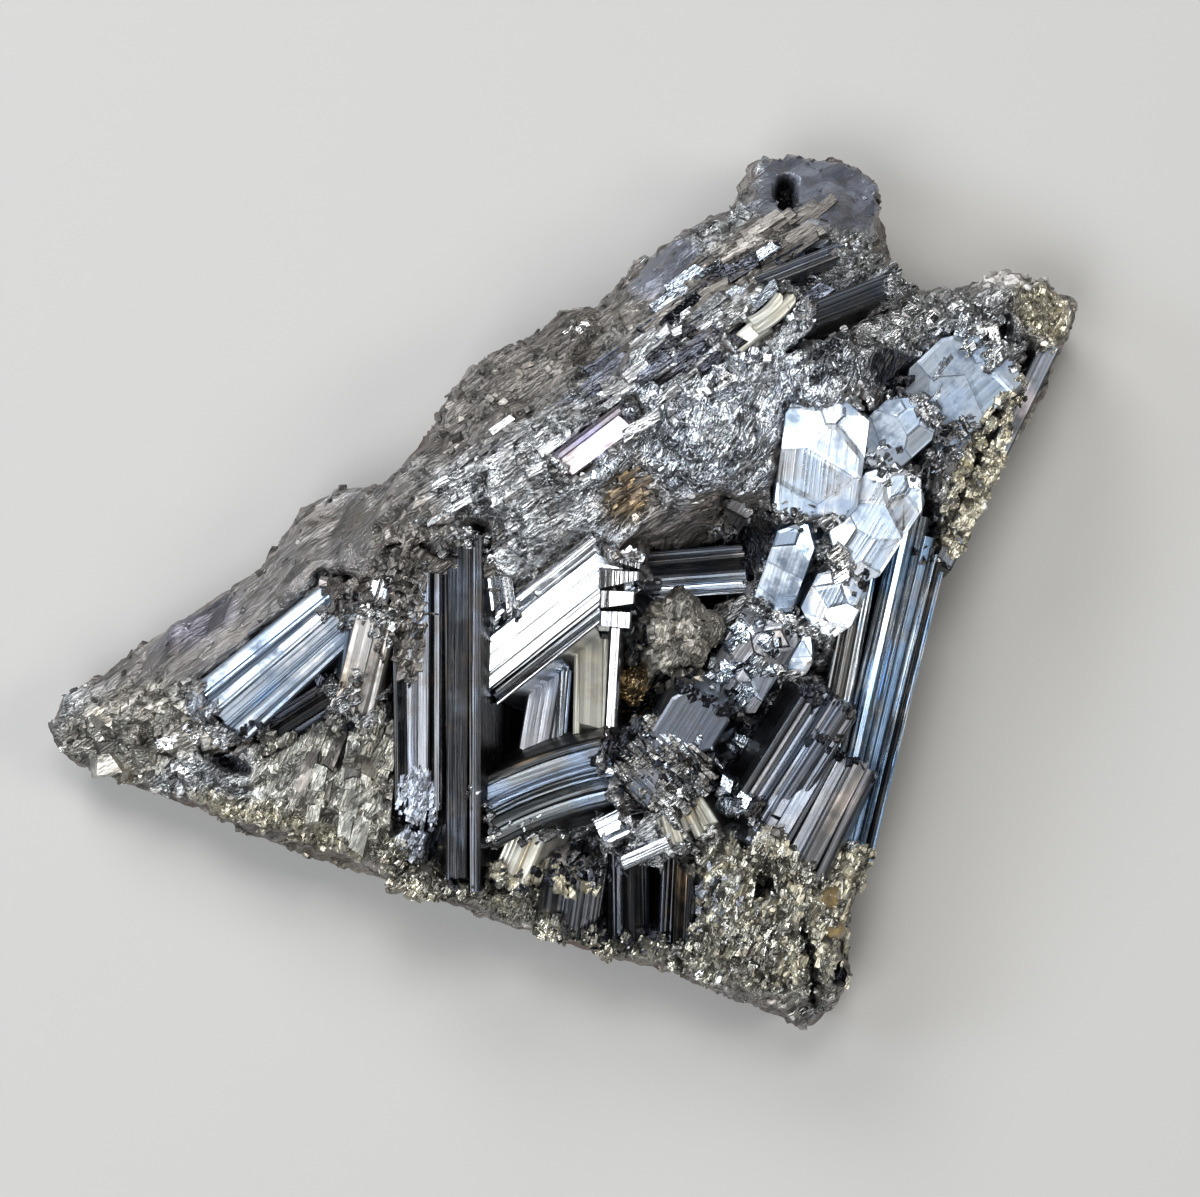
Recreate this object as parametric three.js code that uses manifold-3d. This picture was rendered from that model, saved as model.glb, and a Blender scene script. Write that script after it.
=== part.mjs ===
// A stibnite crystal specimen: a slab of massive, granular stibnite with blades, laths and blocky crystals
// grown in its pocket and along its edges. It lies on its flat broken back with the display face up.
// Millimetres, +Z up, +X along the longest side. The origin is the middle of the footprint, on the surface.
import * as THREE from "three";
import { ConvexGeometry } from "three/addons/geometries/ConvexGeometry.js";
import { mergeVertices } from "three/addons/utils/BufferGeometryUtils.js";
import Module from "manifold-3d";

const wasm = await Module();
wasm.setup();

// ---- Driving dimensions ------------------------------------------------------------------------------
const SPECIMEN_X = 75; // left tip to right knob
const SPECIMEN_Y = 64; // lower corner to top knob
const GROUND_MARGIN = 3; // how far the ground runs past the outline, where the wall cuts it off
const GROUND_STEP = 2.4; // spacing of the points on the rough upper surface
const WALL_TOP = 25; // taller than any point of the stone
const WALL_RINGS = 5; // steps of the wall from the resting face to its top
const SEAT_GAP = 0.3; // clearance between a crystal and what it grew against
const LATH_OVERLAP = 1.3; // width of a lath over its share of the crystal, so that laths grow together
const LATH_DROP = 0.45; // most that one lath of a crystal lies below the next
const LATH_SHORTER = 0.08; // most that one lath is shorter than the next, as a share of its length
const LATH_TILT = 0.28; // span of the laths' turns about their length, in radians
const EDGE_BEVEL = 0.45; // largest bevel on the long upper edges of a crystal
const BEVEL_SHARE = 0.25; // most of a crystal's width or depth that its bevel takes
const LEAN_LENGTH_SHARE = 0.3; // most that an end's slant runs back, as a share of the crystal's length
const MOST_SLANT = 0.5; // slope of the steepest end
const WALL_WAIST = 5; // height at which the stone is widest
const TOP_SET_BACK = 2.8; // how far the wall's top lies inside the waist
const BASE_SET_BACK = 1.4; // how far the resting face lies inside the waist
const WALL_CURVE = 1.5; // how sharply the wall turns in below the waist
const WALL_WOBBLE = 0.35; // unevenness of the wall
const WALL_WAVES = [2.3, 0.7]; // waves of that unevenness, per corner and per mm of height
const RIM_ROUNDING = 2.6; // distance over which the upper surface rolls off into the wall
const RIM_DROP = 0.32; // share of the height lost at the rim
const KNOB_HEIGHT = 0.45; // unevenness of the upper surface
const KNOB_WAVES = { along: [1.1, 0.6], across: [-0.4, 0.9] }; // its waves per mm of X and of Y
const SPOT_SOFTNESS = 0.4; // squared distance within which a spot height stops growing in weight
const SPOT_FALLOFF = 1.6; // how fast the weight of a spot height falls with distance
const HOLLOW_WALL = [0.72, 1.12]; // where the wall of a hollow starts and ends, as shares of its radius

// ---- Finishes ----------------------------------------------------------------------------------------
const finish = (color, roughness, metalness) =>
  new THREE.MeshStandardMaterial({ color, roughness, metalness });
const FINISHES = {
  massive: finish(0x77787a, 0.55, 0.7),
  blade: finish(0x8fa0b4, 0.2, 1),
  dark: finish(0x4a5160, 0.25, 1),
  mirror: finish(0xd5dde6, 0.12, 1),
  brassy: finish(0xa39569, 0.45, 0.9),
  pale: finish(0xd8d3bd, 0.4, 0.6),
};

// ---- The stone's outline at its waist, clockwise seen from above, from the left tip over the top --------
const OUTLINE = [
  [-37.5, -10.5], [-37, -7.5], [-35.5, -6], [-31.5, -4], [-26.5, -0.5], [-22.5, 2.5], [-19.5, 6.5],
  [-16.5, 8], [-13.5, 8.5], [-10.5, 11.5], [-8.5, 15], [-6, 18], [-2.5, 19.2], [0, 21], [2, 21.2],
  [5, 24.5], [8.5, 27], [12.5, 29], [13.5, 32], [16.5, 33], [20.5, 32.6], [23, 30.5], [23.5, 27], [24, 24],
  [25.5, 22.5], [28.5, 22.5], [32, 24], [35, 23.5], [37.5, 22], [37, 19.5], [35, 15], [31, 9],
  [27, 3], [24, -1], [22, -5.5], [21.2, -11], [21.4, -16.5], [21.2, -21], [20, -24],
  [20.4, -27.5], [19.3, -30], [17.8, -31], [15, -30], [9, -28], [2.5, -25.5], [-5, -23.5], [-12.5, -20.8],
  [-19.5, -18.2], [-26.5, -15.6], [-32, -13.5], [-36, -11.8],
];

// Spot heights of the upper surface: x, y, height. The ground between them is their weighted mean.
const SPOT_HEIGHTS = [
  // left wing
  [-36, -10, 7], [-34, -8, 8.5], [-30, -9, 9.5], [-32, -11, 8], [-27, -4, 10.5], [-24, -1, 10.5],
  [-20, 2, 12], [-18, 6, 11], [-23, -13, 11], [-29, -13, 9], [-20, -15, 12.5], [-18, -18, 10.5],
  // ridge, rising to the middle of the slab
  [-14, 6, 13], [-11, 6, 16], [-9, 11, 14], [-4, 15, 15], [-4, 9, 19.5], [2, 17, 15], [2, 10, 21.5],
  [6, 21, 15.5], [7, 15, 21.5], [10, 10, 22.5], [13, 24, 16], [14, 18, 22], [17, 13, 22], [-1, 4, 19],
  [5, 4, 18], [-9, 4, 17],
  // top knob and right arm
  [19, 30, 12.5], [19, 27, 15], [21, 23, 17], [23, 19, 18.5], [27, 20, 16], [28, 17, 17], [33, 21, 13.5],
  [36, 20, 12], [34, 16, 14], [31, 10, 14.5], [30, 5, 14],
  // mound under the bright blocks
  [19, 8, 18.5], [23, 6, 15.5], [16, 1, 13.5], [13, -4, 10.5],
  // lower edge and lower right corner
  [-14, -17, 13.5], [-12, -21, 10.5], [-9, -20, 13], [-5, -22, 11], [-1, -25, 10], [6, -26, 10],
  [12, -23, 14.5], [16, -21, 15], [19, -23, 15.5], [19, -28, 14], [13, -28, 13], [18, -31, 9],
  [21, -20, 13], [21, -29, 11], [10, -19, 12],
];

// Hollows sunk into the ground: centre, half length and half width, turn in degrees, floor height.
const HOLLOWS = [
  { x: -1.5, y: -8.5, a: 6.5, b: 5.5, turn: 0, floor: 6 }, // dark recess beside the tall dark blade
  { x: 8.5, y: 1, a: 6, b: 3, turn: 25, floor: 6.5 }, // recess under the ridge
  { x: 9, y: -9, a: 5.5, b: 5.5, turn: 0, floor: 8 }, // middle of the pocket
  { x: 21.5, y: -5, a: 12.5, b: 2.4, turn: 76, floor: 6 }, // trench beside the right fan
  { x: 16, y: -13, a: 6, b: 4.5, turn: 60, floor: 8 }, // under the corner blades
  { x: 3, y: -21.5, a: 7.5, b: 3, turn: -14, floor: 7.5 }, // under the foot blades
  { x: -20.5, y: -7.5, a: 5, b: 2.6, turn: 38, floor: 8 }, // under the left fan
  { x: 23, y: 14, a: 1.8, b: 1.2, turn: 0, floor: 11 }, // vug in the right arm
  { x: 14.5, y: -20.5, a: 1.3, b: 1, turn: 20, floor: 10 }, // vugs in the lower right corner
  { x: 17.6, y: -25.5, a: 2, b: 0.9, turn: -70, floor: 10 },
  { x: -6.3, y: 3.2, a: 1, b: 1.3, turn: 0, floor: 12 }, // vug above the dark blade
];

// ---- Solids and geometry ----------------------------------------------------------------------------
function toSolid(geometry) {
  const bare = geometry.clone();
  bare.deleteAttribute("normal");
  bare.deleteAttribute("uv");
  const merged = mergeVertices(bare, 1e-4);
  return new wasm.Manifold(
    new wasm.Mesh({
      numProp: 3,
      vertProperties: merged.attributes.position.array,
      triVerts: new Uint32Array(merged.index.array),
    }),
  );
}

function toGeometry(solid) {
  const mesh = solid.getMesh();
  const geometry = new THREE.BufferGeometry();
  geometry.setAttribute("position", new THREE.BufferAttribute(new Float32Array(mesh.vertProperties), 3));
  geometry.setIndex(new THREE.BufferAttribute(new Uint32Array(mesh.triVerts), 1));
  const flat = geometry.toNonIndexed();
  flat.computeVertexNormals();
  return flat;
}

// A cut can leave chips behind: a node keeps its largest body.
function largestBody(solid) {
  return solid.decompose().reduce((best, body) => (body.volume() > best.volume() ? body : best));
}

// Repeatable pseudo-random numbers from 0 to 1.
function makeRandom(seed) {
  let state = seed >>> 0;
  return () => {
    state = (state + 0x6d2b79f5) >>> 0;
    let mixed = Math.imul(state ^ (state >>> 15), 1 | state);
    mixed ^= mixed + Math.imul(mixed ^ (mixed >>> 7), 61 | mixed);
    return ((mixed ^ (mixed >>> 14)) >>> 0) / 4294967296;
  };
}

// ---- The stone --------------------------------------------------------------------------------------
function distanceToOutline(x, y) {
  let nearest = Infinity;
  OUTLINE.forEach(([ax, ay], i) => {
    const [bx, by] = OUTLINE[(i + 1) % OUTLINE.length];
    const along = ((x - ax) * (bx - ax) + (y - ay) * (by - ay)) / ((bx - ax) ** 2 + (by - ay) ** 2);
    const t = Math.min(1, Math.max(0, along));
    nearest = Math.min(nearest, Math.hypot(x - ax - t * (bx - ax), y - ay - t * (by - ay)));
  });
  return nearest;
}

function groundHeight(x, y) {
  let weights = 0;
  let sum = 0;
  for (const [sx, sy, height] of SPOT_HEIGHTS) {
    const weight = 1 / ((x - sx) ** 2 + (y - sy) ** 2 + SPOT_SOFTNESS) ** SPOT_FALLOFF;
    weights += weight;
    sum += weight * height;
  }
  const [alongWave, acrossWave] = [KNOB_WAVES.along, KNOB_WAVES.across].map(([u, v]) => u * x + v * y);
  const knobbly = KNOB_HEIGHT * Math.sin(alongWave) * Math.cos(acrossWave);
  const rollOff = 1 - RIM_DROP * Math.exp(-distanceToOutline(x, y) / RIM_ROUNDING);
  let height = (sum / weights + knobbly) * rollOff;
  for (const hollow of HOLLOWS) {
    const turn = THREE.MathUtils.degToRad(hollow.turn);
    const u = ((x - hollow.x) * Math.cos(turn) + (y - hollow.y) * Math.sin(turn)) / hollow.a;
    const v = (-(x - hollow.x) * Math.sin(turn) + (y - hollow.y) * Math.cos(turn)) / hollow.b;
    const depthShare = 1 - THREE.MathUtils.smoothstep(Math.hypot(u, v), ...HOLLOW_WALL);
    if (height > hollow.floor) height += (hollow.floor - height) * depthShare;
  }
  return height;
}

// A box whose top is shaped to the ground.
function groundSolid() {
  const width = SPECIMEN_X + 2 * GROUND_MARGIN;
  const depth = SPECIMEN_Y + 2 * GROUND_MARGIN;
  const columns = Math.round(width / GROUND_STEP);
  const rows = Math.round(depth / GROUND_STEP);
  const box = new THREE.BoxGeometry(width, depth, 1, columns, rows, 1);
  const points = box.attributes.position;
  for (let i = 0; i < points.count; i++) {
    const onTop = points.getZ(i) > 0;
    points.setZ(i, onTop ? groundHeight(points.getX(i), points.getY(i)) : -1);
  }
  return toSolid(box);
}

// How far the wall stands inside the outline at a height.
function wallSetBack(z) {
  if (z < WALL_WAIST) return BASE_SET_BACK * ((WALL_WAIST - z) / WALL_WAIST) ** WALL_CURVE;
  return (TOP_SET_BACK * (z - WALL_WAIST)) / (WALL_TOP - WALL_WAIST);
}

// The outline pulled up into a wall that bulges at the waist.
function wallSolid() {
  const corners = OUTLINE.map(([x, y]) => new THREE.Vector2(x, y));
  const inwards = corners.map((corner, i) => {
    const before = corners[(i + corners.length - 1) % corners.length];
    const after = corners[(i + 1) % corners.length];
    const along = after.clone().sub(before).normalize();
    return new THREE.Vector2(along.y, -along.x);
  });
  const wall = new THREE.ExtrudeGeometry(new THREE.Shape(corners), {
    depth: WALL_TOP,
    steps: WALL_RINGS,
    bevelEnabled: false,
  });
  const points = wall.attributes.position;
  for (let i = 0; i < points.count; i++) {
    const here = new THREE.Vector2(points.getX(i), points.getY(i));
    const nearest = corners.reduce((best, c, k) =>
      c.distanceToSquared(here) < corners[best].distanceToSquared(here) ? k : best, 0);
    const z = points.getZ(i);
    const wobble = WALL_WOBBLE * Math.sin(WALL_WAVES[0] * nearest + WALL_WAVES[1] * z);
    const moved = corners[nearest].clone().addScaledVector(inwards[nearest], wallSetBack(z) + wobble);
    points.setXY(i, moved.x, moved.y);
  }
  return toSolid(wall);
}

// ---- Crystals ---------------------------------------------------------------------------------------
// How the far end of a crystal is cut off: [height share at which it starts to narrow, width share left].
const ENDS = {
  point: [0.72, 0.18],
  flat: [0.97, 0.86],
  block: [0.9, 0.72],
};

// One convex lath along +Z with its broad upper face towards +Y. The upper long edges are bevelled, and the
// far end is cut off at a slant.
function lathGeometry(length, wide, deep, end, slant) {
  const [shoulder, left] = ENDS[end];
  const bevelAcross = Math.min(EDGE_BEVEL, BEVEL_SHARE * wide) / wide;
  const bevelDown = Math.min(EDGE_BEVEL, BEVEL_SHARE * deep) / deep;
  const section = [
    [0.5, -0.5], [0.5, 0.5 - bevelDown], [0.5 - bevelAcross, 0.5],
    [bevelAcross - 0.5, 0.5], [-0.5, 0.5 - bevelDown], [-0.5, -0.5],
  ];
  const rings = [[0, 1], [length * shoulder, 1], [length, left]];
  const points = rings.flatMap(([z, share]) =>
    section.map(([u, v]) => {
      const lean = z > 0 ? slant * u * Math.min(wide, length * LEAN_LENGTH_SHARE) : 0;
      return new THREE.Vector3(u * wide * share, v * deep * share, z + lean);
    }),
  );
  return new ConvexGeometry(points);
}

// A lump is an icosahedron stretched to the crystal's length, width and depth.
function lumpGeometry(length, wide, deep) {
  const lump = new THREE.IcosahedronGeometry(0.5, 1);
  lump.scale(wide, deep, length);
  lump.translate(0, 0, length / 2);
  return lump;
}

// The turn that takes +Z along the crystal and +Y to its upper face, rolled about its length.
function crystalTurn(from, to, rollDegrees) {
  const along = to.clone().sub(from).normalize();
  const up = new THREE.Vector3(0, 0, 1);
  const side = new THREE.Vector3().crossVectors(up, along).normalize();
  const face = new THREE.Vector3().crossVectors(along, side);
  const turn = new THREE.Quaternion().setFromRotationMatrix(new THREE.Matrix4().makeBasis(side, face, along));
  const roll = new THREE.Quaternion().setFromAxisAngle(new THREE.Vector3(0, 0, 1),
    THREE.MathUtils.degToRad(rollDegrees));
  return turn.multiply(roll);
}

// The place of a crystal: its foot and its turn. Its from and to points lie on its upper face.
function crystalPlace(crystal) {
  const from = new THREE.Vector3(...crystal.from);
  const to = new THREE.Vector3(...crystal.to);
  const turn = crystalTurn(from, to, crystal.roll);
  const matrix = new THREE.Matrix4().compose(from, turn, new THREE.Vector3(1, 1, 1));
  return { from, turn, matrix, length: from.distanceTo(to) };
}

// The solid of one crystal in the part's frame: a lump, or laths side by side that differ a little in
// height, length and turn.
function crystalSolid(crystal, random) {
  const { matrix, length } = crystalPlace(crystal);
  const { wide, deep, strips, end } = crystal;
  if (end === "lump") {
    const lump = lumpGeometry(length, wide, deep).translate(0, -deep / 2, 0);
    return toSolid(lump.applyMatrix4(matrix));
  }
  const share = wide / strips;
  const lathWide = strips > 1 ? share * LATH_OVERLAP : wide;
  const unevenness = strips > 1 ? 1 : 0;
  let solid = null;
  for (let i = 0; i < strips; i++) {
    const across = (i + 0.5) * share - wide / 2;
    const drop = random() * LATH_DROP * unevenness;
    const shorter = random() * LATH_SHORTER * length * unevenness;
    const tilt = (random() - 0.5) * LATH_TILT * unevenness;
    const slant = 2 * MOST_SLANT * (random() - 0.5);
    const lath = lathGeometry(length - shorter, lathWide, deep, end, slant);
    lath.rotateZ(tilt);
    lath.translate(across, -deep / 2 - drop, shorter / 2);
    const part = toSolid(lath.applyMatrix4(matrix));
    solid = solid ? solid.add(part) : part;
  }
  return solid;
}

// The seat that the neighbours of a crystal leave for it: one simple convex solid that holds all its laths
// with the clearance on every side.
function crystalSeat(crystal) {
  const { matrix, length } = crystalPlace(crystal);
  const { wide, deep, strips, end } = crystal;
  if (end === "lump") {
    const grow = 2 * SEAT_GAP;
    const lump = lumpGeometry(length + grow, wide + grow, deep + grow);
    return toSolid(lump.translate(0, -deep / 2, -SEAT_GAP).applyMatrix4(matrix));
  }
  const spread = strips > 1 ? (LATH_OVERLAP - 1) * (wide / strips) + (deep * LATH_TILT) / 2 : 0;
  const seatWide = wide + spread + 2 * SEAT_GAP;
  const seatDeep = deep + (strips > 1 ? LATH_DROP : 0) + 2 * SEAT_GAP;
  const lean = (MOST_SLANT / 2) * Math.min(wide, LEAN_LENGTH_SHARE * length);
  const [shoulder, left] = ENDS[end];
  const rings = [[-SEAT_GAP, 1], [length * shoulder, 1], [length + SEAT_GAP + lean, left]];
  const points = rings.flatMap(([z, share]) => {
    const halfWide = (share * seatWide) / 2 + (1 - share) * SEAT_GAP;
    const halfDeep = (share * seatDeep) / 2 + (1 - share) * SEAT_GAP;
    return [[1, 1], [-1, 1], [-1, -1], [1, -1]].map(([u, v]) =>
      new THREE.Vector3(u * halfWide, v * halfDeep - seatDeep / 2 + SEAT_GAP, z));
  });
  return toSolid(new ConvexGeometry(points).applyMatrix4(matrix));
}

// A row of blades that spread from a common root: the ones between the first and the last change evenly,
// and they lean by turns to one side and the other.
function fan(count, first, last, lean) {
  const between = (a, b, t) => a.map((value, i) => THREE.MathUtils.lerp(value, b[i], t));
  return Array.from({ length: count }, (_, i) => {
    const t = i / (count - 1);
    return {
      ...first,
      from: between(first.from, last.from, t),
      to: between(first.to, last.to, t),
      roll: i % 2 ? lean : -lean,
    };
  });
}

// Each group is one node: the crystals in it grew together. Those in front come first and stay whole,
// and the ones behind are cut back to make room. from and to are on the crystal's upper face.
const GROUPS = [
  { node: "stepped_needle", finish: "mirror", crystals: [
    { from: [3.5, 2, 18.5], to: [4, -4, 17.5], wide: 2.2, deep: 4, strips: 2, roll: 0, end: "block" },
    { from: [3.8, -3, 17], to: [3, -12, 14.5], wide: 0.9, deep: 3.5, strips: 1, roll: 10, end: "flat" },
  ] },
  { node: "tall_dark_blade", finish: "dark", crystals: [
    { from: [-7.5, 3.5, 18], to: [-7.5, -22, 12.5], wide: 2.6, deep: 9, strips: 2, roll: -6, end: "flat" },
    { from: [-10, 2.5, 16.5], to: [-10.5, -17, 13], wide: 3.6, deep: 7, strips: 2, roll: 8, end: "flat" },
  ] },
  { node: "cream_flake", finish: "pale", crystals: [
    { from: [11.5, 15.5, 22.3], to: [16, 19.5, 22], wide: 1.8, deep: 3.5, strips: 1, roll: 8, end: "point" },
  ] },
  { node: "brown_lump", finish: "brassy", crystals: [
    { from: [7, -8, 16.5], to: [8.5, -1, 18], wide: 6.2, deep: 8, strips: 1, roll: 0, end: "lump" },
  ] },
  { node: "gold_lump", finish: "brassy", crystals: [
    { from: [4.6, -9.5, 14], to: [5, -6.8, 15], wide: 2.5, deep: 6, strips: 1, roll: 0, end: "lump" },
  ] },
  { node: "bright_plate_top", finish: "mirror", crystals: [
    { from: [17.5, 4, 18.5], to: [18.5, 12, 20.5], wide: 5.9, deep: 6, strips: 1, roll: 0, end: "block" },
  ] },
  { node: "bright_plate_right", finish: "mirror", crystals: [
    { from: [19.8, 1, 16], to: [24, 7.5, 18], wide: 4.8, deep: 5, strips: 1, roll: 6, end: "block" },
  ] },
  { node: "grey_bar", finish: "blade", crystals: [
    { from: [14.5, -2, 14.5], to: [17, 5, 18], wide: 2.9, deep: 5, strips: 1, roll: -8, end: "block" },
  ] },
  { node: "white_block", finish: "mirror", crystals: [
    { from: [18, -3.5, 14], to: [21, 2.5, 16.5], wide: 3.7, deep: 5, strips: 1, roll: 8, end: "block" },
  ] },
  { node: "small_block", finish: "mirror", crystals: [
    { from: [15.5, -6, 12.5], to: [17.5, -2.5, 14], wide: 3.1, deep: 5, strips: 1, roll: 0, end: "block" },
  ] },
  { node: "facet_chain", finish: "dark", crystals: [
    { from: [11, -8.5, 12.5], to: [15, -2, 14.5], wide: 3.8, deep: 5, strips: 2, roll: -10, end: "block" },
  ] },
  { node: "grey_block", finish: "blade", crystals: [
    { from: [20.5, 8, 17.5], to: [25, 12, 18], wide: 4.3, deep: 5, strips: 1, roll: -6, end: "block" },
  ] },
  { node: "smooth_plate", finish: "blade", crystals: [
    { from: [25, 11.5, 16.5], to: [30.5, 16.5, 17.5], wide: 6.2, deep: 5, strips: 1, roll: 4, end: "block" },
  ] },
  { node: "slim_lath", finish: "blade", crystals: [
    { from: [32, 15, 16], to: [24.5, 7, 15.5], wide: 1.6, deep: 4, strips: 1, roll: -5, end: "flat" },
  ] },
  { node: "right_fan", finish: "blade", crystals: fan(5,
    { from: [25.4, 8.5, 13.5], to: [19.5, -17, 11], wide: 1.5, deep: 5, strips: 1, end: "flat" },
    { from: [26.4, 1, 12.5], to: [21.4, -19.5, 10.5] }, 12) },
  { node: "edge_blade", finish: "dark", crystals: [
    { from: [35.2, 18, 12], to: [27.3, 1.9, 11.5], wide: 2.4, deep: 6, strips: 1, roll: -30, end: "flat" },
  ] },
  { node: "long_needle", finish: "blade", crystals: [
    { from: [21.5, 3, 12], to: [18.9, -9, 11.5], wide: 1, deep: 3.5, strips: 1, roll: 0, end: "flat" },
    { from: [19.3, -7, 12], to: [19.4, -18, 11], wide: 0.9, deep: 3, strips: 1, roll: 10, end: "point" },
  ] },
  { node: "bent_blades", finish: "blade", crystals: [
    { from: [-5.5, -15.5, 14], to: [3.5, -12.5, 15.5], wide: 2.5, deep: 5, strips: 2, roll: 10, end: "flat" },
    { from: [-5.5, -17.2, 13], to: [3.5, -14, 14.5], wide: 1.9, deep: 5, strips: 2, roll: -14, end: "flat" },
  ] },
  { node: "grey_plate", finish: "dark", crystals: [
    { from: [7.5, -12.5, 14], to: [10, -8.5, 16], wide: 4.3, deep: 4, strips: 1, roll: 16, end: "block" },
  ] },
  { node: "crumpled_mass", finish: "dark", crystals: [
    { from: [4, -11, 14], to: [8, -15, 15], wide: 4.6, deep: 6, strips: 2, roll: 14, end: "block" },
  ] },
  { node: "feather_lamellae", finish: "pale", crystals: [
    { from: [7.3, -14.5, 14.5], to: [8.8, -18.3, 14.5],
      wide: 3.5, deep: 5, strips: 2, roll: 9, end: "block" },
  ] },
  { node: "broad_bright_blade", finish: "mirror", crystals: [
    { from: [3.5, 1.5, 16.5], to: [-7, -6.5, 13.5], wide: 4.6, deep: 6, strips: 2, roll: 4, end: "flat" },
    { from: [2.5, 3.5, 16], to: [-6.5, -3.5, 14], wide: 1.3, deep: 4, strips: 1, roll: -20, end: "flat" },
  ] },
  { node: "white_facet", finish: "mirror", crystals: [
    { from: [-6, 1.5, 16.5], to: [-5.2, -2, 15.5], wide: 1.6, deep: 3, strips: 1, roll: 15, end: "block" },
  ] },
  { node: "recess_blade_left", finish: "dark", crystals: [
    { from: [-1.2, -4.5, 10], to: [-2.5, -12.5, 10.5], wide: 2.1, deep: 5, strips: 1, roll: 18, end: "flat" },
  ] },
  { node: "recess_blade_thin", finish: "blade", crystals: [
    { from: [0, -4.5, 10], to: [-0.4, -12.5, 11], wide: 0.9, deep: 5, strips: 1, roll: -15, end: "flat" },
  ] },
  { node: "recess_blade_pale", finish: "pale", crystals: [
    { from: [1.5, -2.5, 12], to: [1.3, -12, 12], wide: 2.1, deep: 5, strips: 2, roll: 10, end: "flat" },
  ] },
  { node: "cross_lath_lower", finish: "blade", crystals: [
    { from: [5.5, 0.3, 10.8], to: [13.5, 0.8, 11], wide: 1.2, deep: 4, strips: 2, roll: -12, end: "flat" },
  ] },
  { node: "cross_lath_upper", finish: "blade", crystals: [
    { from: [5.5, 2.3, 10.8], to: [13, 3, 10.6], wide: 0.9, deep: 3.5, strips: 1, roll: 10, end: "flat" },
  ] },
  { node: "cross_plate", finish: "dark", crystals: [
    { from: [11.5, 4, 11.8], to: [13.2, 6.6, 12.4], wide: 1.9, deep: 3, strips: 1, roll: 20, end: "block" },
  ] },
  { node: "corner_blade_upper", finish: "blade", crystals: [
    { from: [19, -8, 15.5], to: [13.5, -16.5, 13.5], wide: 3.7, deep: 6, strips: 2, roll: -8, end: "flat" },
  ] },
  { node: "corner_blade_lower", finish: "dark", crystals: [
    { from: [19.5, -11.5, 13], to: [15, -19, 13.5], wide: 3.7, deep: 6, strips: 2, roll: 8, end: "flat" },
    { from: [19.8, -13.5, 12], to: [17.2, -20.5, 14], wide: 1.6, deep: 5, strips: 1, roll: -12, end: "flat" },
  ] },
  { node: "white_bar", finish: "mirror", crystals: [
    { from: [4, -20, 14], to: [8.5, -18, 14.6], wide: 1, deep: 4, strips: 1, roll: 20, end: "flat" },
  ] },
  { node: "white_stub", finish: "mirror", crystals: [
    { from: [2.6, -18.1, 14], to: [4.6, -17.1, 14.6], wide: 1.5, deep: 4, strips: 1, roll: 20, end: "block" },
  ] },
  { node: "foot_blade_middle", finish: "dark", crystals: [
    { from: [4.4, -18, 13], to: [4.5, -26, 10], wide: 3, deep: 6, strips: 2, roll: 6, end: "flat" },
  ] },
  { node: "foot_blade_right", finish: "dark", crystals: [
    { from: [7.8, -18.5, 13], to: [7.3, -26, 10.5], wide: 2.9, deep: 6, strips: 2, roll: -6, end: "flat" },
  ] },
  { node: "foot_blade_left", finish: "dark", crystals: [
    { from: [1, -20, 12.2], to: [0, -24.8, 10], wide: 3.7, deep: 5, strips: 2, roll: 6, end: "flat" },
  ] },
  { node: "pale_flake", finish: "pale", crystals: [
    { from: [-3, -17.5, 13.5], to: [-5, -22, 12], wide: 2.1, deep: 5, strips: 2, roll: 12, end: "point" },
  ] },
  { node: "left_fan", finish: "blade", crystals: fan(3,
    { from: [-16.5, -0.5, 13.8], to: [-26.5, -8, 11.2], wide: 2, deep: 4, strips: 1, end: "flat" },
    { from: [-16.5, -3.8, 13.4], to: [-24.5, -10.8, 10.8] }, 10) },
  { node: "left_lower_blade", finish: "dark", crystals: [
    { from: [-16.5, -7, 11], to: [-22, -10.5, 10.5], wide: 1.8, deep: 4, strips: 2, roll: 10, end: "flat" },
  ] },
  { node: "upright_blades", finish: "blade", crystals: [
    { from: [-16, 0.5, 14.4], to: [-17, -8, 12.6], wide: 1.5, deep: 5, strips: 2, roll: -14, end: "flat" },
    { from: [-14.7, 0, 14.6], to: [-15.5, -7, 13.4], wide: 1.3, deep: 5, strips: 1, roll: 10, end: "flat" },
  ] },
  { node: "bright_chip", finish: "mirror", crystals: [
    { from: [-12.6, 1.5, 15.6], to: [-13.8, -1.5, 15],
      wide: 1.5, deep: 4, strips: 1, roll: 14, end: "block" },
  ] },
  { node: "weathered_prism", finish: "brassy", crystals: [
    { from: [-13.2, -2.2, 15.8], to: [-15.5, -10, 13.8],
      wide: 2.6, deep: 6, strips: 1, roll: 6, end: "flat" },
  ] },
  { node: "ridge_lath_upper", finish: "dark", crystals: [
    { from: [13, 20.5, 20.2], to: [20.5, 24, 17.4], wide: 1.1, deep: 4, strips: 1, roll: 14, end: "flat" },
  ] },
  { node: "ridge_lath_lower", finish: "dark", crystals: [
    { from: [16.5, 18, 21.9], to: [23.5, 21.5, 17.6], wide: 1.4, deep: 4, strips: 2, roll: -10, end: "flat" },
  ] },
  { node: "ridge_lath_rosy", finish: "mirror", crystals: [
    { from: [-0.5, 7.5, 20], to: [4.5, 11, 21.8], wide: 1.9, deep: 4, strips: 1, roll: 12, end: "flat" },
  ] },
];

// ---- Assembly ---------------------------------------------------------------------------------------
// Joins the crystals of a group and cuts them back from the seats already taken. Returns the node's solid
// and its own seat.
function growGroup(group, index, taken) {
  let solid = null;
  let seat = null;
  group.crystals.forEach((crystal, k) => {
    const body = crystalSolid(crystal, makeRandom(100 * index + k));
    const room = crystalSeat(crystal);
    solid = solid ? solid.add(body) : body;
    seat = seat ? seat.add(room) : room;
  });
  if (taken) solid = solid.subtract(taken);
  return { solid: largestBody(solid), seat };
}

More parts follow.
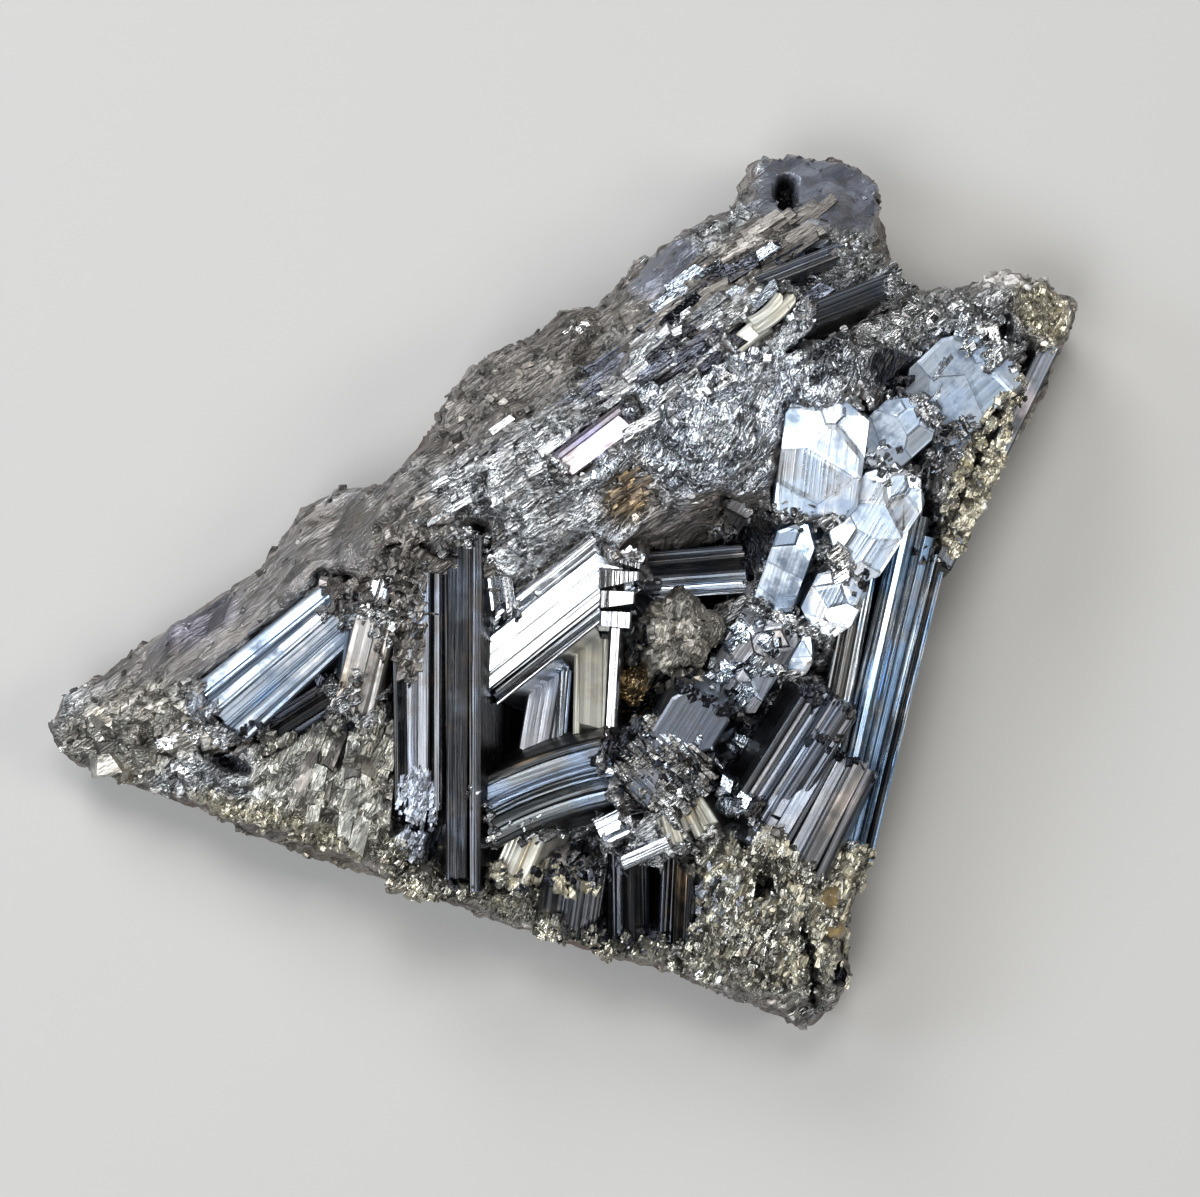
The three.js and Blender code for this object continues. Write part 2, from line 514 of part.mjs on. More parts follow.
// A mesh whose place is its first crystal's foot and turn, with its solid expressed in that frame.
function placedMesh(name, solid, crystal, material) {
  const { from, turn, matrix } = crystalPlace(crystal);
  const mesh = new THREE.Mesh(toGeometry(solid).applyMatrix4(matrix.clone().invert()), material);
  mesh.name = name;
  mesh.position.copy(from);
  mesh.quaternion.copy(turn);
  return mesh;
}

const grown = new THREE.Group();
let taken = null;
GROUPS.forEach((group, index) => {
  const { solid, seat } = growGroup(group, index, taken);
  taken = taken ? taken.add(seat) : seat;
  grown.add(placedMesh(group.node, solid, group.crystals[0], FINISHES[group.finish]));
});

const stone = largestBody(groundSolid().intersect(wallSolid()).subtract(taken));
const matrix = new THREE.Mesh(toGeometry(stone), FINISHES.massive);
matrix.name = "matrix";
grown.add(matrix);

// The middle of the footprint goes to the origin.
const bounds = new THREE.Box3().setFromObject(grown, true);
const middle = bounds.getCenter(new THREE.Vector3());
grown.position.set(-middle.x, -middle.y, -bounds.min.z);

const specimen = new THREE.Group();
specimen.add(grown);

export default specimen;
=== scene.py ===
"""Stibnite crystal specimen: a granular slab with silvery blades, laths and blocks, lying on its back."""

import logging
import math
import random
from dataclasses import dataclass
from enum import Enum
from functools import lru_cache, partial

import bmesh
import bpy
import numpy as np
from mathutils import Matrix, Vector, noise
from mathutils.bvhtree import BVHTree


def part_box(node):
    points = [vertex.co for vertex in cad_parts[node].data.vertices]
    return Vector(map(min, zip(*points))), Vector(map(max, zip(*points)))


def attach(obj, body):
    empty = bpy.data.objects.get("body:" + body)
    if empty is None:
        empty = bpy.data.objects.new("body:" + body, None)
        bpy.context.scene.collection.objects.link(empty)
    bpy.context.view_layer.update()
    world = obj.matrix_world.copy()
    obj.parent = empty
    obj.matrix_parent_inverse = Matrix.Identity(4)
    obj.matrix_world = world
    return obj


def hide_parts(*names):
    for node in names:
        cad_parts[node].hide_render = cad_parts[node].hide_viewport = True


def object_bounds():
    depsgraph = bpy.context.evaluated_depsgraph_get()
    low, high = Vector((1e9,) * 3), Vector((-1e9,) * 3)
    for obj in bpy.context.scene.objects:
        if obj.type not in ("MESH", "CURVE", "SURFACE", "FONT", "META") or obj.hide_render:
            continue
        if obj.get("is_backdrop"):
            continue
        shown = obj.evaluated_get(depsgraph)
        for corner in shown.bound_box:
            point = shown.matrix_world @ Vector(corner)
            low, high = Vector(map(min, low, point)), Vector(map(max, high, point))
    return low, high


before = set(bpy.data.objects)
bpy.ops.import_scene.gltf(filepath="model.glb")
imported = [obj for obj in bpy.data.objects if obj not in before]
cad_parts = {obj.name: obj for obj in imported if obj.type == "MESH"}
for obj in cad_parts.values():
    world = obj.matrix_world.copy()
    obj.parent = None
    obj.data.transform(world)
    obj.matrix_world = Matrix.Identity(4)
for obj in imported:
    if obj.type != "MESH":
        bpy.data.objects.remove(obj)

MM = 0.001
BODY = "root"
TOLERANCE = 1e-7
MERGE_DISTANCE = 0.002 * MM
TINT = "tint"
SHEEN = "sheen"
TONE = "tone"
GRAIN_MAP = "grain"

VECTOR = "NodeSocketVector"
FLOAT = "NodeSocketFloat"
COLOUR = "NodeSocketColor"
HALF = (0.5, 0.5, 0.5)
MID_GREY = (*HALF, 1)
GRAIN_LUSTRE = (1, 0.9, 0.3, 1)

Socket = bpy.types.NodeSocket
Feed = float | tuple[float, ...] | Socket
Material = bpy.types.Material
Piece = bpy.types.Object
Shape = bmesh.types.BMesh
Pair = tuple[float, float]
Triple = tuple[float, float, float]

log = logging.getLogger("specimen")


# ------------------------------------------------------------
# Shader helpers and shared effects
# ------------------------------------------------------------
class Sketch:
    """Adds nodes to a tree and links them."""

    def __init__(self, tree: bpy.types.NodeTree) -> None:
        """Args:
            tree: The node tree that the nodes go into.
        """
        self.tree = tree

    def add(self, kind: str, values: dict | None = None, **settings) -> bpy.types.Node:
        """Adds one node.

        Args:
            kind: The node's type name.
            values: Input name or number to a value, or to the output socket that feeds it.
            settings: Properties of the node.

        Returns:
            The new node.
        """
        node = self.tree.nodes.new(kind)
        for name, value in settings.items():
            setattr(node, name, value)
        for name, value in (values or {}).items():
            if isinstance(value, Socket):
                self.tree.links.new(value, node.inputs[name])
            else:
                node.inputs[name].default_value = value
        return node

    def blend(self, factor: Feed, first: Feed, second: Feed, how: str = "MIX") -> Socket:
        """Mixes two colours.

        Args:
            factor: Share of the second colour.
            first: Colour or socket.
            second: Colour or socket.
            how: The blend type.

        Returns:
            The mixed colour's socket.
        """
        node = self.add("ShaderNodeMix", {0: factor, 6: first, 7: second}, data_type="RGBA", blend_type=how)
        return node.outputs[2]

    def span(
        self, value: Feed, low: float, high: float, to_low: Feed = 0.0, to_high: Feed = 1.0
    ) -> Socket:
        """Maps a value smoothly from one range to another.

        Args:
            value: The socket to map.
            low: Start of the range.
            high: End of the range.
            to_low: Result at the start.
            to_high: Result at the end.

        Returns:
            The mapped value's socket.
        """
        values = {"Value": value, "From Min": low, "From Max": high, "To Min": to_low, "To Max": to_high}
        return self.add("ShaderNodeMapRange", values, interpolation_type="SMOOTHSTEP").outputs["Result"]

    def math(self, how: str, first: Feed, second: Feed = 0.0) -> Socket:
        """Does one sum on two values, and returns its socket."""
        return self.add("ShaderNodeMath", {0: first, 1: second}, operation=how).outputs[0]

    def vectors(self, how: str, first: Feed, second: Feed = (0, 0, 0), factor: Feed = 1.0) -> Socket:
        """Does one sum on two vectors, or on a vector and a factor, and returns its socket."""
        values = {0: first, 1: second, 3: factor}
        return self.add("ShaderNodeVectorMath", values, operation=how).outputs[0]

    def noise(self, vector: Feed, scale: Feed, detail: float, rough: float = 0.5, **more) -> Socket:
        """Adds a noise texture, and returns its value's socket."""
        values = {"Vector": vector, "Scale": scale, "Detail": detail, "Roughness": rough, **more}
        return self.add("ShaderNodeTexNoise", values).outputs["Fac"]

    def mapped(self, vector: Feed, how: str, **values) -> Socket:
        """A vector that is stretched (POINT), or measured in stretched and turned units (TEXTURE)."""
        return self.add("ShaderNodeMapping", {"Vector": vector, **values}, vector_type=how).outputs[0]

    def attribute(self, name: str, output: str) -> Socket:
        """One output of a mesh attribute."""
        return self.add("ShaderNodeAttribute", attribute_name=name).outputs[output]

    def object_place(self) -> Socket:
        """The place on the object."""
        return self.add("ShaderNodeTexCoord").outputs["Object"]

    def shaded(self, colour: Feed, level: Feed, amount: float) -> Socket:
        """A colour times a grey of one level."""
        grey = self.add("ShaderNodeCombineColor", {0: level, 1: level, 2: level}).outputs[0]
        return self.blend(amount, colour, grey, "MULTIPLY")

    def surface(self, values: dict) -> None:
        """Adds the shader of a material, with its inputs, and the material's output."""
        shader = self.add("ShaderNodeBsdfPrincipled", values)
        self.add("ShaderNodeOutputMaterial", {"Surface": shader.outputs[0]})


def new_material(name: str) -> tuple[Material, Sketch]:
    """Args:
        name: The material's name.

    Returns:
        An empty material, and a sketch of its tree.
    """
    material = bpy.data.materials.new(name)
    material.use_nodes = True
    material.node_tree.nodes.clear()
    return material, Sketch(material.node_tree)


class Effect:
    """A node group that several finishes share."""

    def __init__(self, name: str, inputs: dict, outputs: dict) -> None:
        """Args:
            name: The group's name.
            inputs: Input name to socket type and default value.
            outputs: Output name to socket type.
        """
        self.tree = bpy.data.node_groups.new(name, "ShaderNodeTree")
        for label, (kind, default) in inputs.items():
            socket = self.tree.interface.new_socket(label, in_out="INPUT", socket_type=kind)
            if default is not None:
                socket.default_value = default
        for label, kind in outputs.items():
            self.tree.interface.new_socket(label, in_out="OUTPUT", socket_type=kind)
        self.sketch = Sketch(self.tree)
        self.inputs = self.sketch.add("NodeGroupInput").outputs
        self.results = self.sketch.add("NodeGroupOutput").inputs

    def give(self, label: str, socket: Socket) -> None:
        """Sends a socket to the group's output with that label."""
        self.tree.links.new(socket, self.results[label])


class Effects:
    """Builds the shared effects once and places them in materials."""

    def __init__(self) -> None:
        """Builds the groups."""
        builders = (self.streaks, self.tarnish, self.facets, self.dust, self.relief, self.wrinkles)
        self.groups = {builder.__name__: builder() for builder in builders}

    def place(self, sketch: Sketch, name: str, values: dict) -> bpy.types.bpy_prop_collection:
        """Puts a shared effect in a material.

        Args:
            sketch: The material's sketch.
            name: The effect's name.
            values: Its inputs.

        Returns:
            The outputs of the placed group.
        """
        return sketch.add("ShaderNodeGroup", values, node_tree=self.groups[name]).outputs

    @staticmethod
    def streaks() -> bpy.types.NodeTree:
        """Fine lines that run along a blade, from broad bands to hairlines."""
        effect = Effect("streaks", {"Vector": (VECTOR, None), "Fineness": (FLOAT, 3.0)}, {"Lines": FLOAT})
        sketch, given = effect.sketch, effect.inputs
        stretched = sketch.mapped(given["Vector"], "POINT", Scale=(1.0, 0.012, 1.0))
        broad = sketch.noise(stretched, given["Fineness"], 4.0, 0.65)
        fine = sketch.noise(stretched, sketch.math("MULTIPLY", given["Fineness"], 4.3), 3.0, 0.6)
        both = sketch.math("ADD", sketch.math("MULTIPLY", broad, 0.65), sketch.math("MULTIPLY", fine, 0.35))
        effect.give("Lines", sketch.span(both, 0.36, 0.64))
        return effect.tree

    @staticmethod
    def tarnish() -> bpy.types.NodeTree:
        """Thin-film colours that change slowly over a face and from lath to lath."""
        effect = Effect(
            "tarnish",
            {
                "Color": (COLOUR, MID_GREY),
                "Vector": (VECTOR, None),
                "Tone": (FLOAT, 0.5),
                "Cool": (COLOUR, (0.2, 0.3, 0.6, 1)),
                "Warm": (COLOUR, (0.5, 0.35, 0.25, 1)),
                "Amount": (FLOAT, 0.5),
            },
            {"Color": COLOUR},
        )
        sketch, given = effect.sketch, effect.inputs
        cloud = sketch.noise(given["Vector"], 210.0, 3.0, 0.55)
        shifted = sketch.math("ADD", cloud, sketch.math("MULTIPLY", given["Tone"], 0.45))
        cool = sketch.math("MULTIPLY", sketch.span(shifted, 0.72, 0.9), given["Amount"])
        warm = sketch.math("MULTIPLY", sketch.span(shifted, 0.5, 0.38), given["Amount"])
        tinted = sketch.blend(cool, given["Color"], given["Cool"])
        effect.give("Color", sketch.blend(warm, tinted, given["Warm"]))
        return effect.tree

    @staticmethod
    def facets() -> bpy.types.NodeTree:
        """Small flat facets: each cell turns the normal its own way, and has a painted shade that follows its
        tilt.
        """
        effect = Effect(
            "facets",
            {"Vector": (VECTOR, None), "Scale": (FLOAT, 1500.0), "Tilt": (FLOAT, 0.5)},
            {"Normal": VECTOR, "Shade": FLOAT},
        )
        sketch, given = effect.sketch, effect.inputs
        warp = sketch.add("ShaderNodeTexNoise", {"Vector": given["Vector"], "Scale": 260.0, "Detail": 2.0})
        centred = sketch.vectors("SUBTRACT", warp.outputs["Color"], HALF)
        bent = sketch.vectors("ADD", given["Vector"], sketch.vectors("SCALE", centred, factor=0.0016))
        turn = (0.0, 0.0, math.radians(38))
        turned = sketch.mapped(bent, "TEXTURE", Rotation=turn, Scale=(2.2, 1.0, 1.5))
        cells = sketch.add("ShaderNodeTexVoronoi", {0: turned, "Scale": given["Scale"]}).outputs["Color"]
        random_turn = sketch.vectors("SUBTRACT", cells, HALF)
        plain = sketch.add("ShaderNodeNewGeometry").outputs["Normal"]
        summed = sketch.vectors("ADD", plain, sketch.vectors("SCALE", random_turn, factor=given["Tilt"]))
        effect.give("Normal", sketch.vectors("NORMALIZE", summed))
        # Painted shade and highlight: the shade is the cell's tilt along x, so facets that lean one way are
        # painted lighter.
        effect.give("Shade", sketch.add("ShaderNodeSeparateColor", {0: cells}).outputs[0])
        return effect.tree

    @staticmethod
    def wrinkles() -> bpy.types.NodeTree:
        """Fine wavy fibres, side by side, that run in one direction."""
        effect = Effect(
            "wrinkles",
            {"Vector": (VECTOR, None), "Angle": (FLOAT, 0.6), "Scale": (FLOAT, 1500.0)},
            {"Height": FLOAT},
        )
        sketch, given = effect.sketch, effect.inputs
        turned = sketch.add(
            "ShaderNodeVectorRotate",
            {"Vector": given["Vector"], "Angle": sketch.math("MULTIPLY", given["Angle"], -1.0)},
            rotation_type="Z_AXIS",
        ).outputs[0]
        drawn = sketch.mapped(turned, "TEXTURE", Scale=(6.0, 1.0, 1.0))
        broad = sketch.noise(drawn, given["Scale"], 3.0, 0.6, Distortion=0.5)
        waved = sketch.math("SINE", sketch.math("MULTIPLY", broad, 26.0))
        fine = sketch.noise(drawn, sketch.math("MULTIPLY", given["Scale"], 3.1), 3.0)
        both = sketch.math("ADD", sketch.math("MULTIPLY", waved, 0.22), fine)
        effect.give("Height", sketch.span(both, 0.15, 0.85))
        return effect.tree

    @staticmethod
    def dust() -> bpy.types.NodeTree:
        """Earthy film in patches."""
        effect = Effect(
            "dust",
            {
                "Color": (COLOUR, MID_GREY),
                "Vector": (VECTOR, None),
                "Film": (COLOUR, (0.12, 0.09, 0.06, 1)),
                "Amount": (FLOAT, 0.5),
            },
            {"Color": COLOUR, "Mask": FLOAT},
        )
        sketch, given = effect.sketch, effect.inputs
        patches = sketch.noise(given["Vector"], 330.0, 6.0, 0.7)
        mask = sketch.math("MULTIPLY", sketch.span(patches, 0.46, 0.66), given["Amount"])
        effect.give("Color", sketch.blend(mask, given["Color"], given["Film"]))
        effect.give("Mask", mask)
        return effect.tree

    @staticmethod
    def relief() -> bpy.types.NodeTree:
        """Paints shade into the hollows, darkening them towards near-black, and a painted highlight onto the
        crests.
        """
        effect = Effect("relief", {"Color": (COLOUR, MID_GREY), "Amount": (FLOAT, 0.6)}, {"Color": COLOUR})
        sketch, given = effect.sketch, effect.inputs
        crest = sketch.add("ShaderNodeNewGeometry").outputs["Pointiness"]
        # Painted shade in the hollows and painted highlight on the crests, both from the pointiness.
        hollow_shade = sketch.math("MULTIPLY", sketch.span(crest, 0.5, 0.42), given["Amount"])
        crest_highlight = sketch.math("MULTIPLY", sketch.span(crest, 0.52, 0.6), given["Amount"])
        hollow_shaded = sketch.blend(hollow_shade, given["Color"], (0.02, 0.018, 0.016, 1))
        effect.give("Color", sketch.blend(crest_highlight, hollow_shaded, (0.8, 0.8, 0.8, 1), "SOFT_LIGHT"))
        return effect.tree


@dataclass(frozen=True)
class CrystalFinish:
    """Metallic finish of the crystals: streaks along the length, with painted shade in their low parts, and
    thin-film tarnish.
    """

    name: str
    slot: str
    colour: Triple
    cool: Triple
    warm: Triple
    tarnish: float
    metallic: float
    roughness: Pair
    streak_fineness: float = 1.6
    streak_depth: float = 0.012
    dust: float = 0.25
    dust_roughness: float = 0.35
    variety: float = 0.45
    # Darkness of the painted shade in the low parts of the streaks.
    contrast: float = 0.4
    film: Triple = (0.1, 0.075, 0.05)

    def build(self, effects: Effects) -> Material:
        """Args:
            effects: The shared effects.

        Returns:
            The material.
        """
        material, sketch = new_material(self.name)
        place = sketch.object_place()
        along = sketch.add("ShaderNodeUVMap", uv_map=GRAIN_MAP).outputs[0]
        tone = sketch.attribute(TONE, "Fac")
        lines = effects.place(sketch, "streaks", {"Vector": along, "Fineness": self.streak_fineness})["Lines"]
        # Painted shade: where the streak bump dips, the colour is darker by the contrast share.
        dark = tuple((1 - self.contrast) * c for c in self.colour)
        streaked = sketch.blend(lines, (*dark, 1), (*self.colour, 1))
        level = sketch.span(tone, 0.15, 0.85, 1.0 - self.variety, 1.0)
        tarnished = {
            "Color": sketch.shaded(streaked, level, 1.0),
            "Vector": place,
            "Tone": tone,
            "Cool": (*self.cool, 1),
            "Warm": (*self.warm, 1),
            "Amount": self.tarnish,
        }
        tinted = effects.place(sketch, "tarnish", tarnished)["Color"]
        dusty = effects.place(
            sketch, "dust", {"Color": tinted, "Vector": place, "Film": (*self.film, 1), "Amount": self.dust}
        )
        smooth, dull = self.roughness
        rough = sketch.span(lines, 0.0, 1.0, dull, smooth)
        rough = sketch.math("ADD", rough, sketch.math("MULTIPLY", dusty["Mask"], self.dust_roughness))
        bump = sketch.add(
            "ShaderNodeBump", {"Strength": 1.0, "Distance": self.streak_depth * MM, "Height": lines}
        ).outputs[0]
        finish = {"Metallic": self.metallic, "Roughness": rough, "Normal": bump}
        sketch.surface({"Base Color": dusty["Color"], **finish})
        return material


@dataclass(frozen=True)
class StoneFinish:
    """Finish of the crinkled stone. Its colour, lustre and the run of its fibres come from the surface."""

    name: str
    slot: str
    facet_scale: float = 1000.0
    facet_tilt: float = 0.42
    # Painted shade and highlight of the facets: its range, and its share of the colour.
    shades: Pair = (0.4, 1.6)
    facet_shading: float = 0.6
    wrinkle_scale: float = 1300.0
    wrinkle_depth: float = 0.17
    # Painted shade in the grooves between the fibres: its share, and its near-black colour.
    groove: float = 0.75
    groove_shade_colour: Triple = (0.018, 0.018, 0.02)
    # Share of the painted shade in the hollows and of the painted highlight on the crests.
    relief: float = 0.5
    film: Triple = (0.13, 0.11, 0.085)
    dust: float = 0.3
    dust_roughness: float = 0.2
    gentle: float = math.radians(34)
    steep: float = math.radians(64)

    def build(self, effects: Effects) -> Material:
        """Args:
            effects: The shared effects.

        Returns:
            The material.
        """
        material, sketch = new_material(self.name)
        place = sketch.object_place()
        sheen = sketch.add("ShaderNodeAttribute", attribute_name=SHEEN).outputs
        metallic, roughness, facet = sketch.add("ShaderNodeSeparateColor", {0: sheen["Color"]}).outputs
        tilt = sketch.math("MULTIPLY", facet, self.facet_tilt)
        cells = effects.place(sketch, "facets", {"Vector": place, "Scale": self.facet_scale, "Tilt": tilt})
        fibres = {"Vector": place, "Scale": self.wrinkle_scale}
        runs = [
            effects.place(sketch, "wrinkles", {**fibres, "Angle": angle})["Height"]
            for angle in (self.gentle, self.steep)
        ]
        height = sketch.add(
            "ShaderNodeMix", {0: sheen["Alpha"], 2: runs[0], 3: runs[1]}, data_type="FLOAT"
        ).outputs[0]
        # Painted shade and highlight: each facet's colour is made lighter or darker with its tilt.
        shade = sketch.span(cells["Shade"], 0.0, 1.0, *self.shades)
        facet_shaded = sketch.shaded(sketch.attribute(TINT, "Color"), shade, self.facet_shading)
        # Painted shade: the low parts of the fibres are painted near-black, as shade in the grooves.
        amount = sketch.math("MULTIPLY", facet, self.groove)
        groove = sketch.math("MULTIPLY", sketch.span(height, 0.42, 0.12), amount)
        groove_shaded = sketch.blend(groove, facet_shaded, (*self.groove_shade_colour, 1))
        carved = effects.place(sketch, "relief", {"Color": groove_shaded, "Amount": self.relief})["Color"]
        dusty = effects.place(
            sketch, "dust", {"Color": carved, "Vector": place, "Film": (*self.film, 1), "Amount": self.dust}
        )
        rough = sketch.math("ADD", roughness, sketch.math("MULTIPLY", dusty["Mask"], self.dust_roughness))
        bumps = {
            "Strength": sketch.span(facet, 0.0, 1.0, 0.25, 1.0),
            "Distance": self.wrinkle_depth * MM,
            "Height": height,
            "Normal": cells["Normal"],
        }
        bump = sketch.add("ShaderNodeBump", bumps).outputs[0]
        finish = {"Metallic": metallic, "Roughness": rough, "Normal": bump}
        sketch.surface({"Base Color": dusty["Color"], **finish})
        return material


@dataclass(frozen=True)
class HoneyFinish:
    """Clear honey-brown grains."""

    name: str = "honey_grain"
    slot: str = "pyrite_crust"
    light: Triple = (0.62, 0.45, 0.2)
    brown: Triple = (0.35, 0.27, 0.16)
    bump: float = 0.05

    def build(self) -> Material:
        """Returns:
            The material.
        """
        material, sketch = new_material(self.name)
        cloud = sketch.noise(sketch.object_place(), 900.0, 4.0)
        colour = sketch.blend(sketch.span(cloud, 0.35, 0.65), (*self.light, 1), (*self.brown, 1))
        bump = sketch.add("ShaderNodeBump", {"Strength": 0.5, "Distance": self.bump * MM, "Height": cloud})
        clear = {"Roughness": 0.18, "IOR": 1.55, "Transmission Weight": 0.6}
        sketch.surface({"Base Color": colour, "Normal": bump.outputs[0], **clear})
        return material


class Finish(Enum):
    """The finishes of the crystals."""

    # All are stibnite. BRIGHT and FACET are near-white copies for faces that catch the light, as painted
    # highlight; DARK is a dark copy for faces turned from it, as painted shade.
    BLADE = CrystalFinish(
        "blade_steel", "blade_stibnite", (0.62, 0.67, 0.73), (0.3, 0.4, 0.56), (0.5, 0.44, 0.38),
        0.55, 1.0, (0.16, 0.32),
    )
    BANDED = CrystalFinish(
        "banded_steel", "blade_stibnite", (0.62, 0.68, 0.74), (0.2, 0.34, 0.54), (0.44, 0.38, 0.36),
        0.8, 1.0, (0.16, 0.3), variety=0.92, contrast=0.62,
    )
    DARK = CrystalFinish(
        "dark_steel", "dark_stibnite", (0.17, 0.18, 0.2), (0.12, 0.142, 0.185), (0.24, 0.17, 0.11),
        0.65, 1.0, (0.16, 0.34), variety=0.85, contrast=0.55,
    )
    BRIGHT = CrystalFinish(
        "bright_silver", "bright_stibnite", (0.93, 0.95, 0.98), (0.6, 0.7, 0.85), (0.85, 0.8, 0.74),
        0.4, 1.0, (0.12, 0.24), dust=0.06,
    )
    FACET = CrystalFinish(
        "facet_silver", "bright_stibnite", (0.86, 0.9, 0.95), (0.5, 0.64, 0.82), (0.76, 0.74, 0.7),
        0.7, 1.0, (0.24, 0.36), streak_depth=0.008, contrast=0.2, dust=0.95, variety=0.5,
        film=(0.34, 0.43, 0.56),
    )
    SATIN = CrystalFinish(
        "satin_steel", "blade_stibnite", (0.28, 0.31, 0.355), (0.2, 0.245, 0.34), (0.34, 0.29, 0.29),
        0.6, 1.0, (0.3, 0.42), streak_depth=0.006, contrast=0.25, variety=0.4, dust=0.5,
    )
    BENT = CrystalFinish(
        "bent_steel", "blade_stibnite", (0.2, 0.22, 0.235), (0.13, 0.17, 0.24), (0.22, 0.175, 0.13),
        0.8, 1.0, (0.24, 0.4), contrast=0.6, variety=0.7, dust=0.35,
    )
    CLOUDY = CrystalFinish(
        "cloudy_steel", "blade_stibnite", (0.5, 0.57, 0.66), (0.3, 0.4, 0.54), (0.52, 0.52, 0.52),
        0.7, 1.0, (0.28, 0.42), streak_depth=0.006, contrast=0.25, variety=0.45, dust=0.9,
        film=(0.2, 0.25, 0.33),
    )
    FLUTED = CrystalFinish(
        "fluted_steel", "dark_stibnite", (0.34, 0.355, 0.39), (0.24, 0.29, 0.38), (0.32, 0.29, 0.27),
        0.6, 1.0, (0.25, 0.4), variety=0.6, contrast=0.3,
    )
    ROSY = CrystalFinish(
        "rosy_silver", "bright_stibnite", (0.78, 0.7, 0.76), (0.62, 0.58, 0.82), (0.92, 0.68, 0.5),
        0.9, 1.0, (0.2, 0.34), dust=0.5, contrast=0.15,
    )
    PALE = CrystalFinish(
        "pale_crust", "pale_crust", (0.78, 0.76, 0.66), (0.6, 0.64, 0.62), (0.62, 0.5, 0.3),
        0.5, 0.45, (0.28, 0.45), dust=0.35,
    )
    BRASSY = CrystalFinish(
        "brassy_crust", "pyrite_crust", (0.34, 0.305, 0.25), (0.28, 0.28, 0.29), (0.4, 0.29, 0.17),
        0.7, 0.8, (0.28, 0.5), dust=0.5,
    )


# ------------------------------------------------------------
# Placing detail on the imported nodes
# ------------------------------------------------------------
def put_in_scene(name: str, data: bpy.types.ID) -> Piece:
    """Makes an object of a mesh, a light or a camera, at the origin, and links it."""
    made = bpy.data.objects.new(name, data)
    bpy.context.scene.collection.objects.link(made)
    return made


def mesh_from(bm: Shape, name: str, *materials: Material) -> bpy.types.Mesh:
    """Args:
        bm: The finished shape, which is freed.
        name: The mesh's name.
        materials: Its finishes.

    Returns:
        The mesh.
    """
    mesh = bpy.data.meshes.new(name)
    bm.to_mesh(mesh)
    bm.free()
    for material in materials:
        mesh.materials.append(material)
    return mesh


def merged_copy(node: str) -> Shape:
    """Args:
        node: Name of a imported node.

    Returns:
        A copy of its mesh with shared corners merged.
    """
    bm = bmesh.new()
    bm.from_mesh(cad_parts[node].data)
    bmesh.ops.remove_doubles(bm, verts=bm.verts, dist=MERGE_DISTANCE)
    return bm


